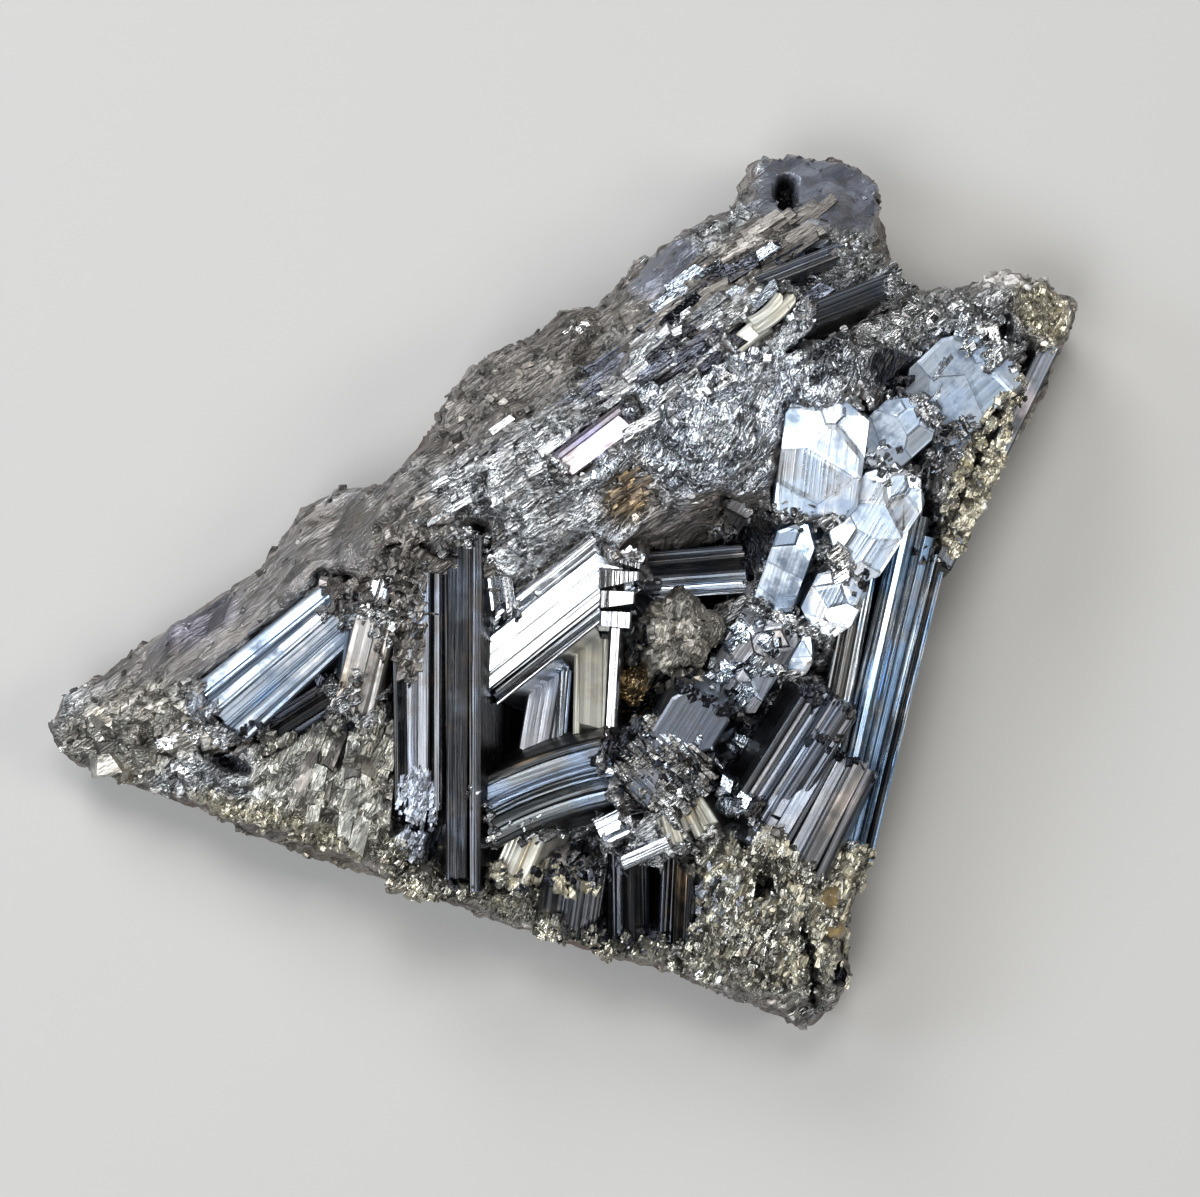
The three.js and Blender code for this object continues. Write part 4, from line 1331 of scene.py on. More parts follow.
@dataclass(frozen=True)
class Seating:
    """How the stone meets the crystals: it keeps off their faces and grows over their crusted ends."""

    clear: float = 0.6 * MM
    cover: float = 0.4 * MM
    reach: float = 1.3 * MM
    margin: float = 0.3 * MM
    bottom: float = 2.0 * MM
    upright: float = 0.25
    raggedness: float = 0.7

    def settle(self, points: np.ndarray, normals: np.ndarray, crystals: list[Crystal]) -> np.ndarray:
        """Args:
            points: The stone's corners.
            normals: Their normals.
            crystals: The crystals, each with its box and the shares of its ends that are crusted.

        Returns:
            The corners, moved.
        """
        moved = points.copy()
        wobble = np.array([noise.noise(Vector(p) * 900.0) for p in points])
        for mine, grows in ((normals[:, 2] > self.upright, True), (points[:, 2] > self.bottom, False)):
            for crystal in crystals:
                self.meet(moved, mine, wobble, crystal, grows)
        return moved

    def meet(
        self, moved: np.ndarray, free: np.ndarray, wobble: np.ndarray, crystal: Crystal, grows: bool
    ) -> None:
        """Raises the corners at a crystal's ends, or lowers those above its face.

        Args:
            moved: The stone's corners, which are changed.
            free: The corners that may move.
            wobble: A random number for each corner.
            crystal: The crystal.
            grows: Whether its ends are covered now, or its face is cleared.
        """
        box = crystal.box()
        size, place = box.size(), np.array(box.to_place())
        local = (moved - place[:3, 3]) @ place[:3, :3]
        x, y, z = local.T
        share = z / size.z
        beside = (x > box.side(0.0, share) - self.margin) & (x < box.side(1.0, share) + self.margin)
        within = (z > -self.margin) & (z < size.z + self.margin) & free
        ragged = self.reach * (1 + self.raggedness * wobble * 2)
        ends = (z < ragged * crystal.crusted[0]) | (size.z - z < ragged * crystal.crusted[1])
        if grows:
            target = self.cover * (1 + wobble)
            mine = beside & within & ends & (y < target)
        else:
            target = np.full(len(y), -self.clear)
            mine = beside & within & ~ends & (y > target)
        local[mine, 1] = target[mine]
        moved[mine] = place[:3, 3] + local[mine] @ place[:3, :3].T


@dataclass
class Stone:
    """The slab of massive stibnite."""

    crust: CrustMap
    crystals: list[Crystal]
    seating: Seating = Seating()
    node: str = "matrix"
    voxel: float = 0.34 * MM
    smoothing: int = 2
    swell: float = 0.22 * MM
    ridge_turn: float = math.radians(35)
    cell: Triple = (4.0 * MM, 0.95 * MM, 1.3 * MM)
    wander: float = 1.2 * MM
    relief: float = 1.3 * MM
    base: float = 0.3 * MM

    def build(self, material: Material) -> Piece:
        """Args:
            material: The stone's finish.

        Returns:
            The object that stands for the slab.
        """
        holder = put_in_scene("coarse_stone", mesh_from(merged_copy(self.node), "coarse_stone"))
        remesh = holder.modifiers.new("voxels", "REMESH")
        remesh.mode = "VOXEL"
        remesh.voxel_size = self.voxel
        graph = bpy.context.evaluated_depsgraph_get()
        mesh = bpy.data.meshes.new_from_object(holder.evaluated_get(graph))
        bpy.data.objects.remove(holder)
        self.soften(mesh)
        self.carve(mesh)
        mesh.name = "stone"
        mesh.materials.append(material)
        mesh.polygons.foreach_set("use_smooth", [True] * len(mesh.polygons))
        return put_in_scene("stone", mesh)

    def soften(self, mesh: bpy.types.Mesh) -> None:
        """Rounds the coarse facets off."""
        bm = bmesh.new()
        bm.from_mesh(mesh)
        for _ in range(self.smoothing):
            bmesh.ops.smooth_vert(
                bm, verts=bm.verts, factor=0.5, use_axis_x=True, use_axis_y=True, use_axis_z=True
            )
        bm.to_mesh(mesh)
        bm.free()

    def carve(self, mesh: bpy.types.Mesh) -> None:
        """Moves the surface in and out along its normals, in slanted facets that follow the ridge."""
        points, normals = mesh_arrays(mesh)
        values = self.crust.surface(points, normals)
        cosine, sine = math.cos(self.ridge_turn), math.sin(self.ridge_turn)
        moved = points.copy()
        for i, (point, normal) in enumerate(zip(points, normals)):
            wander = noise.noise(Vector(point) * 180.0) * self.wander
            u = point[0] * cosine + point[1] * sine
            v = -point[0] * sine + point[1] * cosine + wander
            at = Vector((u / self.cell[0], v / self.cell[1], point[2] / self.cell[2]))
            cells = noise.voronoi(at)[1]
            lean = noise.cell_vector(cells[0] * 9.1) - Vector(HALF)
            facet = 1.4 * lean.dot(at - cells[0]) + 0.5 * (lean.x - 0.2)
            grit = 0.35 * noise.noise(Vector(point) * 1400.0)
            height = (facet + grit) * values["knob"][i] * self.relief
            moved[i] = point + normal * (height + self.swell)
        upper = np.clip(normals[:, 2] * 2, 0, 1)
        for pit in self.crust.pits:
            share = np.clip(1.15 - self.crust.far(points, pit), 0, 1)
            moved[:, 2] -= upper * pit.depth * MM * np.clip(share * 3, 0, 1)
        moved = self.seating.settle(moved, normals, self.crystals)
        on_base = points[:, 2] < self.base
        moved[on_base] = points[on_base]
        moved[:, 2] = np.maximum(moved[:, 2], 0.0)
        mesh.vertices.foreach_set("co", moved.ravel())
        mesh.update()
        paint(mesh, values["tint"], lustre(values))


class ShardShape(Enum):
    """The shapes of grains, as length, width and height."""

    SCALE = (1.0, 0.42, 0.2)
    CHIP = (1.0, 0.62, 0.42)
    SPLINTER = (1.0, 0.24, 0.2)
    KNOB = (0.8, 0.7, 0.6)
    LEDGE = (1.0, 0.2, 0.12)
    LAMELLA = (1.0, 0.09, 0.07)
    TILE = (1.0, 0.66, 0.3)


ALL = tuple(ShardShape)
COMPACT = (ShardShape.SCALE, ShardShape.CHIP, ShardShape.SPLINTER, ShardShape.KNOB, ShardShape.LEDGE)
CHIPS = (ShardShape.SCALE, ShardShape.CHIP)
FINE = (ShardShape.LAMELLA,)
THIN = (ShardShape.SPLINTER, ShardShape.LEDGE)
SLABS = (ShardShape.SCALE, ShardShape.SPLINTER)
TILES = (ShardShape.TILE, ShardShape.CHIP)


def shard(shape: ShardShape, rng: random.Random) -> tuple[np.ndarray, np.ndarray]:
    """Args:
        shape: The grain's shape.
        rng: Source of its cuts.

    Returns:
        The corners and the triangles of a grain one unit long.
    """
    bm = bmesh.new()
    bmesh.ops.create_cube(bm, size=1.0)
    bmesh.ops.scale(bm, vec=shape.value, verts=bm.verts)
    slim = shape.value[1] < 0.3
    for side in (-1, 1):
        point = Vector((side * (0.45 if slim else 0.36), 0, 0.3 * shape.value[2]))
        upwards = rng.uniform(0.0, 0.4) if slim else rng.uniform(0.5, 1.3)
        slice_off(bm, point, Vector((side, rng.uniform(-0.6, 0.6), upwards)).normalized())
    bmesh.ops.triangulate(bm, faces=bm.faces)
    corners = np.array([v.co for v in bm.verts])
    triangles = np.array([[v.index for v in f.verts] for f in bm.faces])
    bm.free()
    return corners, triangles


def unit(vectors: np.ndarray) -> np.ndarray:
    """The vectors at length one."""
    return vectors / np.linalg.norm(vectors, axis=1)[:, None]


class GrainHeap:
    """Collects grains and joins them in one piece."""

    def __init__(self, name: str, seed: int) -> None:
        """Args:
            name: The piece's name.
            seed: Start of its random numbers.
        """
        self.name = name
        self.rng = np.random.default_rng(seed)
        shapes = random.Random(seed)
        self.prototypes = {shape: [shard(shape, shapes) for _ in range(4)] for shape in ShardShape}
        self.corners: list[np.ndarray] = []
        self.triangles: list[np.ndarray] = []
        self.tints: list[np.ndarray] = []
        self.sheens: list[np.ndarray] = []
        self.start = 0

    def add(
        self, places: np.ndarray, normals: np.ndarray, heading: np.ndarray, size: np.ndarray,
        tint: np.ndarray, sheen: np.ndarray, lean: float = 0.5, shapes: tuple[ShardShape, ...] = ALL,
    ) -> None:
        """Adds a batch of grains.

        Args:
            places: Their middles.
            normals: The way they face.
            heading: The angle of their length in plan, in radians.
            size: Their lengths.
            tint: Their colours.
            sheen: Their lustre.
            lean: How far they lean from the normals.
            shapes: The shapes to choose from.
        """
        count = len(places)
        if not count:
            return
        axis_z = unit(normals + self.rng.normal(0, lean, (count, 3)))
        axis_x = np.column_stack([np.cos(heading), np.sin(heading), np.zeros(count)])
        axis_x = unit(axis_x - axis_z * np.sum(axis_x * axis_z, axis=1)[:, None])
        axis_y = np.cross(axis_z, axis_x)
        turn = np.stack([axis_x, axis_y, axis_z], axis=2) * size[:, None, None]
        shade = self.rng.uniform(0.55, 1.3, count) * self.rng.choice((0.45, 1.0, 1.15), count)
        picks = [prototype for shape in shapes for prototype in self.prototypes[shape]]
        for k, (shape, faces) in enumerate(picks):
            mine = np.arange(k, count, len(picks))
            if not len(mine):
                continue
            placed = np.einsum("nij,mj->nmi", turn[mine], shape) + places[mine][:, None, :]
            self.corners.append(placed.reshape(-1, 3))
            offsets = self.start + np.arange(len(mine)) * len(shape)
            self.triangles.append((faces[None] + offsets[:, None, None]).reshape(-1, 3))
            self.start += len(mine) * len(shape)
            self.tints.append(np.repeat(np.clip(tint[mine] * shade[mine, None], 0, 0.97), len(shape), axis=0))
            self.sheens.append(np.repeat(sheen[mine], len(shape), axis=0))

    def finish(self, material: Material) -> Piece:
        """Args:
            material: The grains' finish.

        Returns:
            The joined grains.
        """
        mesh = bpy.data.meshes.new(self.name)
        corners = np.concatenate(self.corners)
        corners[:, 2] = np.maximum(corners[:, 2], 0.1 * MM)
        mesh.from_pydata(corners.tolist(), [], np.concatenate(self.triangles).tolist())
        paint(mesh, np.concatenate(self.tints), np.concatenate(self.sheens))
        mesh.materials.append(material)
        return put_in_scene(self.name, mesh)


@dataclass(frozen=True)
class Grains:
    """Small grains scattered over part of the stone, joined in one piece."""

    name: str
    across: Pair
    count: int
    seed: int
    spread: float = math.radians(20)
    sizes: Pair = (0.45, 1.4)
    steepest: float = 0.4
    lowest: float = 1.5 * MM
    lean: float = 0.35

    def build(
        self, crust: CrustMap, stone: Piece, material: Material
    ) -> Piece:
        """Args:
            crust: The map of the crust.
            stone: The stone that the grains sit on.
            material: Their finish.

        Returns:
            The joined grains.
        """
        heap = GrainHeap(self.name, self.seed)
        rng = heap.rng
        mesh = stone.data
        mesh.calc_loop_triangles()
        corners = np.empty(len(mesh.loop_triangles) * 3, np.int32)
        mesh.loop_triangles.foreach_get("vertices", corners)
        corners = corners.reshape(-1, 3)
        points, normals = mesh_arrays(mesh)
        a, b, c = (points[corners[:, k]] for k in range(3))
        middle = (a + b + c) / 3
        facing = normals[corners[:, 0]]
        area = np.linalg.norm(np.cross(b - a, c - a), axis=1) / 2
        values = crust.surface(middle, facing)
        odds = area * values["density"]
        share = (middle[:, 0] - crust.low.x) / (crust.high.x - crust.low.x)
        odds[(share < self.across[0]) | (share >= self.across[1])] = 0
        odds[(middle[:, 2] < self.lowest) | (facing[:, 2] < self.steepest)] = 0
        chosen = rng.choice(len(odds), self.count, p=odds / odds.sum())
        u, v = rng.random(self.count), rng.random(self.count)
        over = u + v > 1
        u[over], v[over] = 1 - u[over], 1 - v[over]
        places = a[chosen] + (b - a)[chosen] * u[:, None] + (c - a)[chosen] * v[:, None]
        heading = np.radians(values["angle"][chosen]) + rng.normal(0, self.spread, self.count)
        size = values["grain"][chosen] * MM * rng.uniform(*self.sizes, self.count)
        sheen = lustre(values)[chosen] * GRAIN_LUSTRE
        heap.add(places, facing[chosen], heading, size, values["tint"][chosen], sheen, self.lean, COMPACT)
        return heap.finish(material)


class Terrain:
    """Finds the surface under a point, on everything built so far."""

    def __init__(self, pieces: list[Piece]) -> None:
        """Args:
            pieces: The pieces, with the stone first.
        """
        self.stone_faces = len(pieces[0].data.polygons)
        corners, faces, start = [], [], 0
        for piece in pieces:
            corners.extend(v.co.copy() for v in piece.data.vertices)
            faces.extend([start + i for i in p.vertices] for p in piece.data.polygons)
            start = len(corners)
        self.tree = BVHTree.FromPolygons(corners, faces)

    def drop(self, x: float, y: float, only_stone: bool = False) -> tuple[Vector, Vector] | None:
        """Args:
            x: Place from left to right.
            y: Place from the lower edge to the upper.
            only_stone: Whether a crystal on top counts as nothing.

        Returns:
            The highest point there and its normal, or None beside the specimen.
        """
        place, normal, face, _ = self.tree.ray_cast(Vector((x, y, 1.0)), Vector((0, 0, -1)))
        if place is None or (only_stone and face >= self.stone_faces):
            return None
        return place, normal


@dataclass(frozen=True)
class Rubble:
    """Loose pieces of one kind in an oval patch, on the stone or draped over the crystals too."""

    kind: Kind
    centre: Pair
    radii: Pair
    count: int
    size: Pair
    turn: float = 0.0
    angle: float | None = None
    spread: float = 25.0
    lean: float = 0.3
    sink: float = 0.1
    level: float = 0.6
    shapes: tuple[ShardShape, ...] = CHIPS
    draped: bool = False

    def build(self, heap: GrainHeap, terrain: Terrain, crust: CrustMap) -> None:
        """Adds the rubble to a heap.

        Args:
            heap: The heap.
            terrain: The surface that it lies on.
            crust: The map of the crust, for its footprint.
        """
        rng = heap.rng
        turn = math.radians(self.turn)
        cx, cy = crust.at(*self.centre)
        places, normals = [], []
        for _ in range(self.count):
            far, way = math.sqrt(rng.random()), rng.random() * math.tau
            u = far * math.cos(way) * self.radii[0] * MM
            v = far * math.sin(way) * self.radii[1] * MM
            x = cx + u * math.cos(turn) - v * math.sin(turn)
            y = cy + u * math.sin(turn) + v * math.cos(turn)
            hit = terrain.drop(x, y, not self.draped)
            if hit:
                places.append(hit[0])
                normals.append(hit[1])
        count = len(places)
        if not count:
            return
        face = self.kind.value
        angle = face.angle if self.angle is None else self.angle
        size = rng.uniform(*self.size, count) * MM
        facing = np.array(normals) * (1 - self.level) + np.array((0, 0, self.level))
        sunk = np.array(places) - np.array((0, 0, 1)) * size[:, None] * self.sink
        heading = np.radians(angle + rng.normal(0, self.spread, count))
        sheen = np.tile((face.metallic, face.roughness, 0.35, 1.0 if angle > 48 else 0.0), (count, 1))
        heap.add(sunk, facing, heading, size, np.tile(face.tint, (count, 1)), sheen, self.lean, self.shapes)


@dataclass(frozen=True)
class Lump:
    """A granular lump: a ball with knobs and facets that fills its node's box."""

    node: str
    kind: Kind
    slot: str
    knob: float = 0.45
    cell: float = 1.3
    speck: float = 0.42
    bulge: float = 2.4
    bulge_height: float = 0.42
    inset: float = 0.3
    flatness: float = 0.6

    def build(self, material: Material, seed: int) -> Piece:
        """Args:
            material: The stone's finish.
            seed: Start of the random numbers.

        Returns:
            The object that stands for the node.
        """
        low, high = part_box(self.node)
        centre, size = (low + high) / 2, high - low
        bm = bmesh.new()
        bmesh.ops.create_icosphere(bm, subdivisions=6, radius=0.5)
        offset = Vector((seed, seed, seed))
        shades = []
        for vert in bm.verts:
            out = vert.co.normalized()
            vert.co = Vector((vert.co.x * size.x, vert.co.y * size.y, vert.co.z * size.z))
            bulge = noise.noise(vert.co / (self.bulge * MM) + offset) - self.inset
            vert.co += Vector((out.x, out.y, out.z * self.flatness)) * bulge * size.x * self.bulge_height
            shade = 0.0
            for cell, share in ((self.cell, 1.0), (self.speck, 0.4)):
                at = vert.co / (cell * MM) + offset
                middle = noise.voronoi(at)[1][0]
                lean = noise.cell_vector(middle * 7.3) - Vector(HALF)
                vert.co += out * (1.3 * lean.dot(at - middle) + 0.5 * lean.x - 0.2) * self.knob * share * MM
                # Painted shade and highlight: each facet is painted lighter or darker by its lean along y.
                shade += lean.y * share
            shades.append(1.0 + shade)
        for face in bm.faces:
            face.smooth = True
        bmesh.ops.translate(bm, vec=centre, verts=bm.verts)
        mesh = mesh_from(bm, self.node, material)
        face = self.kind.value
        tint = np.array(shades)[:, None] * np.array(face.tint)
        sheen = np.tile((face.metallic, face.roughness, 0.8, 0.5), (len(shades), 1))
        paint(mesh, np.clip(tint, 0, 0.95), sheen)
        return put_in_scene(self.node + "_lump", mesh)


# ------------------------------------------------------------
# The crystals, by where they stand
# ------------------------------------------------------------
@dataclass(frozen=True)
class Cluster:
    """Crystals that stand together."""

    name: str
    seed: int
    crystals: tuple[Crystal, ...]

    def build(self, materials: dict) -> list[Piece]:
        """Builds the crystals and hands them to the frame.

        Args:
            materials: Finish to material.

        Returns:
            The pieces.
        """
        made = []
        for i, crystal in enumerate(self.crystals):
            piece = crystal.build(materials, self.seed + i)
            hand_over(piece, crystal.finish.value.slot, crystal.node)
            made.append(piece)
        log.info("%s: %d crystals", self.name, len(made))
        return made


@dataclass(frozen=True)
class Overgrowth:
    """Grains that cover the ends of the crystals, where they come out of the stone."""

    per_mm: float = 15.0
    reach: float = 1.0 * MM
    size: Pair = (0.25, 0.85)
    step: float = 1.2 * MM

    def build(
        self, heap: GrainHeap, crystals: list[Crystal], crust: CrustMap, terrain: Terrain
    ) -> None:
        """Adds the grains to a heap.

        Args:
            heap: The heap.
            crystals: The crystals, each with the share of its foot and of its head that is covered.
            crust: The map of the crust, which colours the grains.
            terrain: The surface that they lie on.
        """
        rng = heap.rng
        for crystal in crystals:
            box = crystal.box()
            size, place = box.size(), box.to_place()
            for end, share in enumerate(crystal.crusted):
                found = []
                for _ in range(int(self.per_mm * share * size.x / MM)):
                    x = box.side(rng.uniform(-0.08, 1.08), end)
                    z = size.z * end + rng.normal(0, 0.45) * self.reach
                    at = place @ Vector((x, 0, z))
                    hit = terrain.drop(at.x, at.y)
                    if hit and abs(hit[0].z - at.z) < self.step:
                        found.append(hit[0])
                count = len(found)
                if not count:
                    continue
                places = np.array(found)
                normals = np.tile((0.0, 0.0, 1.0), (count, 1))
                values = crust.surface(places, normals)
                heading = np.radians(values["angle"]) + rng.normal(0, 0.5, count)
                sizes = rng.uniform(*self.size, count) * MM
                heap.add(places, normals, heading, sizes, values["tint"], lustre(values) * GRAIN_LUSTRE)


@dataclass(frozen=True)
class HoneyGrains:
    """A few clear grains in the corner, each with cut faces."""

    name: str = "honey_grains"
    seed: int = 51
    places: tuple[Triple, ...] = (
        (0.748, 0.141, 0.85), (0.767, 0.118, 0.95), (0.753, 0.104, 0.8), (0.777, 0.11, 0.75),
    )
    cuts: int = 9

    def build(self, material: Material, crust: CrustMap, terrain: Terrain) -> Piece:
        """Args:
            material: Their finish.
            crust: The map of the crust, for its footprint.
            terrain: The surface that they lie on.

        Returns:
            The joined grains.
        """
        rng = random.Random(self.seed)
        joined = bmesh.new()
        scratch = bpy.data.meshes.new("scratch")
        for across, up, radius in self.places:
            hit = terrain.drop(*crust.at(across, up))
            if not hit:
                continue
            grain = bmesh.new()
            bmesh.ops.create_icosphere(grain, subdivisions=3, radius=radius * MM)
            for _ in range(self.cuts):
                way = Vector([rng.gauss(0, 1) for _ in range(3)]).normalized()
                slice_off(grain, way * radius * MM * rng.uniform(0.68, 0.85), way)
            bmesh.ops.translate(grain, vec=hit[0] + Vector((0, 0, 0.35 * radius * MM)), verts=grain.verts)
            grain.to_mesh(scratch)
            grain.free()
            joined.from_mesh(scratch)
        bpy.data.meshes.remove(scratch)
        return put_in_scene(self.name, mesh_from(joined, self.name, material))


def hand_over(piece: Piece, slot: str, *nodes: str) -> None:
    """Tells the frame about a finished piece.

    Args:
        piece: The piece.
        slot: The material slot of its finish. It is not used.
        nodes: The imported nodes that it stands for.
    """
    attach(piece, BODY)
    if nodes:
        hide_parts(*nodes)
    log.info("  %s: %d faces", piece.name, len(piece.data.polygons))


POCKET = Cluster("pocket", 100, (
    Blades("tall_dark_blade", Finish.DARK, (
        LathRow(
            6, across=(0.0, 0.6), foot=(0.04, 0.0), head=(0.82, 0.84), sink=(2.0, 1.2), tilt=9, roll=10,
            grooves=1, tones=(0.1, 0.7),
        ),
        LathRow(
            3, across=(0.6, 0.95), head=(0.97, 1.0), tilt=7, roll=12, ragged=0.02, overlap=1.1, grooves=1,
            groove_depth=0.03, tones=(0.0, 0.5),
        ),
    ), crusted=(1.0, 0.7)),
    Blades("stepped_needle", Finish.BRIGHT, (
        *(
            LathRow(
                1, across=(0.03 * i, 1 - 0.06 * i), foot=(0.1 * i,) * 2, head=(0.1 * i + 0.11,) * 2,
                sink=(0.22 * i,) * 2, tilt=9, ragged=0.0, grooves=1, overlap=1.0,
            )
            for i in range(4)
        ),
        LathRow(
            1, across=(0.36, 0.6), foot=(0.36, 0.36), sink=(0.9, 0.9), ragged=0.0, tip=Tip.ROOF,
            tones=(0.0, 0.3),
        ),
    ), crusted=(0.5, 0.2)),
    Blades("broad_bright_blade", Finish.BRIGHT, (
        LathRow(4, across=(0.0, 0.32), sink=(0.5, 0.1), tilt=24, ragged=0.05, grooves=2, tones=(0.0, 0.6)),
        LathRow(
            3, across=(0.28, 0.8), sink=(-0.5, -0.4), tilt=3, ragged=0.04, drop=0.12, grooves=3,
            groove_depth=0.02, overlap=1.1, tones=(0.35, 0.9),
        ),
        LathRow(
            4, across=(0.78, 1.0), sink=(-0.2, 0.3), tilt=16, ragged=0.06, drop=0.3, grooves=2,
            groove_depth=0.05, overlap=1.15, tones=(0.0, 0.7),
        ),
    ), heading=(-0.77, -0.6, -0.22), crusted=(0.2, 0.1)),
    Blades("white_facet", Finish.BRIGHT, (LathRow(2, tilt=6),)),
    Blades("recess_blade_left", Finish.FLUTED, (LathRow(2, tilt=8),), crusted=(0, 0)),
    Blades("recess_blade_thin", Finish.BLADE, (LathRow(2),), crusted=(0, 0)),
    Blades("recess_blade_pale", Finish.PALE, (LathRow(4, tilt=16),), crusted=(0, 0)),
    Blades("bent_blades", Finish.BENT, (
        LathRow(5, across=(0.0, 0.52), tilt=16, roll=-8, bow=0.4, grooves=1, overlap=1.15),
        LathRow(4, across=(0.5, 1.0), sink=(0.6, 1.0), tilt=12, roll=10, bow=0.35, grooves=1, overlap=1.15),
    ), heading=(0.94, 0.32, 0.16), crusted=(0.2, 0.8)),
    Block("grey_plate", Finish.SATIN, ((0.5, 1),), heading=(0.5, 0.8, 0.4), tilt=2, corner=1.4),
    Blades("crumpled_mass", Finish.FLUTED, (
        LathRow(9, tilt=30, ragged=0.3, drop=0.8, splay=16, overlap=1.6),
        LathRow(7, foot=(0.3, 0.2), tilt=40, ragged=0.3, drop=0.8, splay=-20, overlap=1.6),
    ), heading=(0.69, -0.69, 0.17), crusted=(0.3, 0.3)),
    Blades("feather_lamellae", Finish.PALE, (
        LathRow(9, tilt=24, ragged=0.3, drop=0.5, splay=24, overlap=1.5),
    ), heading=(0.37, -0.93, 0.0), crusted=(0.3, 0.3)),
))

LUMPS = (
    Lump("brown_lump", Kind.EARTHY, "pyrite_crust"),
    Lump("gold_lump", Kind.GOLD, "pyrite_crust", knob=0.25, cell=0.8),
)

CHAIN = Cluster("bright chain", 200, (
    Block(
        "bright_plate_top", Finish.FACET, ((0.05, 2), (0.36, 1), (0.68, 1), (0.81, 2), (0.9, 1), (0.97, 2)),
        heading=(0.1, 1, 0.2), corner=1.2,
    ),
    Block(
        "bright_plate_right", Finish.FACET, ((0.06, 2), (0.2, 3), (0.5, 1), (0.74, 2), (0.86, 3), (0.96, 2)),
        heading=(0.55, 0.8, 0.2), tilt=4, corner=1.3,
    ),
    Block(
        "grey_bar", Finish.CLOUDY, ((0.06, 2), (0.3, 1), (0.6, 1), (0.8, 2), (0.95, 2)),
        heading=(0.3, 0.9, 0.4), tilt=4,
    ),
    Block(
        "white_block", Finish.FACET, ((0.1, 2), (0.34, 2), (0.6, 1), (0.85, 2)),
        heading=(0.4, 0.85, 0.3), tilt=8,
    ),
    Block("small_block", Finish.FACET, ((0.2, 2), (0.6, 1), (0.9, 2)), heading=(0.45, 0.8, 0.35), tilt=8),
    Block(
        "facet_chain", Finish.FLUTED,
        ((0.05, 3), (0.2, 2), (0.36, 3), (0.52, 2), (0.68, 3), (0.82, 2), (0.95, 3)),
        heading=(0.51, 0.83, 0.25), tilt=16, drop=0.9 * MM, wander=0.3,
    ),
    Block(
        "grey_block", Finish.CLOUDY, ((0.15, 2), (0.5, 1), (0.78, 3), (0.92, 2)), heading=(0.75, 0.65, 0.08)
    ),
    Block(
        "smooth_plate", Finish.CLOUDY, ((0.06, 2), (0.38, 1), (0.7, 2), (0.93, 2)), heading=(0.7, 0.65, 0.1),
        corner=1.3, tilt=3.4, drop=0.3 * MM, wander=0.2, crusted=(1.0, 1.0),
    ),
    Blades("cross_lath_lower", Finish.BLADE, (LathRow(3, tilt=20),), (1, 0.06, 0), (0.2, 0.2)),
    Blades("cross_lath_upper", Finish.FLUTED, (LathRow(2, tilt=20),), (1, 0.09, 0), (0.2, 0.2)),
    Block("cross_plate", Finish.DARK, ((0.3, 1), (0.8, 1)), heading=(0.5, 0.8, 0.2)),
))

RIGHT_EDGE = Cluster("right edge", 300, (
    Blades("right_fan", Finish.BANDED, (
        LathRow(
            9, foot=(0.0, 0.24), head=(0.94, 1.0), tilt=15, ragged=0.03, drop=0.5, grooves=2, variety=0.7
        ),
    ), heading=(-0.27, -0.96, -0.1), crusted=(1.0, 1.0), leaning=True),
    Blades("edge_blade", Finish.SATIN, (
        LathRow(
            1, across=(0.5, 1.0), roll=-14, sink=(0.5, 0.5), ragged=0.0, grooves=1, groove_depth=0.03,
            overlap=1.0,
        ),
    ), heading=(-0.38, -0.92, 0), crusted=(0.3, 0.3)),
    Blades("long_needle", Finish.BANDED, (LathRow(2, tilt=14),)),
    Blades("slim_lath", Finish.BLADE, (LathRow(2, tilt=8, ragged=0.02),), heading=(-0.7, -0.7, 0)),
))

CORNER = Cluster("corner blades", 400, (
    Blades("corner_blade_upper", Finish.FLUTED, (LathRow(8, tilt=12, ragged=0.12),), (-0.55, -0.83, -0.2)),
    Blades("corner_blade_lower", Finish.FLUTED, (LathRow(8, tilt=16, splay=8),), heading=(-0.5, -0.83, 0.1)),
))

FOOT = Cluster("foot blades", 500, (
    Blades("foot_blade_left", Finish.FLUTED, (LathRow(6, tilt=18, ragged=0.12),)),
    Blades("foot_blade_middle", Finish.DARK, (LathRow(5, tilt=16, ragged=0.08),)),
    Blades("foot_blade_right", Finish.DARK, (LathRow(5, tilt=16, ragged=0.08),)),
    Blades("white_bar", Finish.BRIGHT, (LathRow(1, ragged=0.0),), heading=(0.91, 0.4, 0.12), crusted=(0, 0)),
    Blades("white_stub", Finish.BRIGHT, (LathRow(2, tilt=6),), (0.86, 0.43, 0.26), (0.3, 0.3)),
    Blades("pale_flake", Finish.PALE, (LathRow(4, tilt=20),), (-0.39, -0.88, -0.29), (0.5, 1)),
))

WING = Cluster("left wing", 600, (
    Blades(
        "left_fan", Finish.CLOUDY, (LathRow(9, tilt=9, ragged=0.1, grooves=4, groove_depth=0.04),),
        heading=(-0.8, -0.6, -0.2), leaning=True,
    ),
    Blades("left_lower_blade", Finish.DARK, (LathRow(3, tilt=8),), heading=(-0.85, -0.5, 0)),
    Blades("upright_blades", Finish.CLOUDY, (LathRow(6, tilt=16, ragged=0.1),)),
    Blades("bright_chip", Finish.BRIGHT, (LathRow(2, tilt=6),), (-0.36, -0.9, -0.2), (1, 0.3)),
    Blades("weathered_prism", Finish.BRASSY, (LathRow(3, tilt=6, ragged=0.1, drop=0.5),), crusted=(1.6, 2.0)),
))

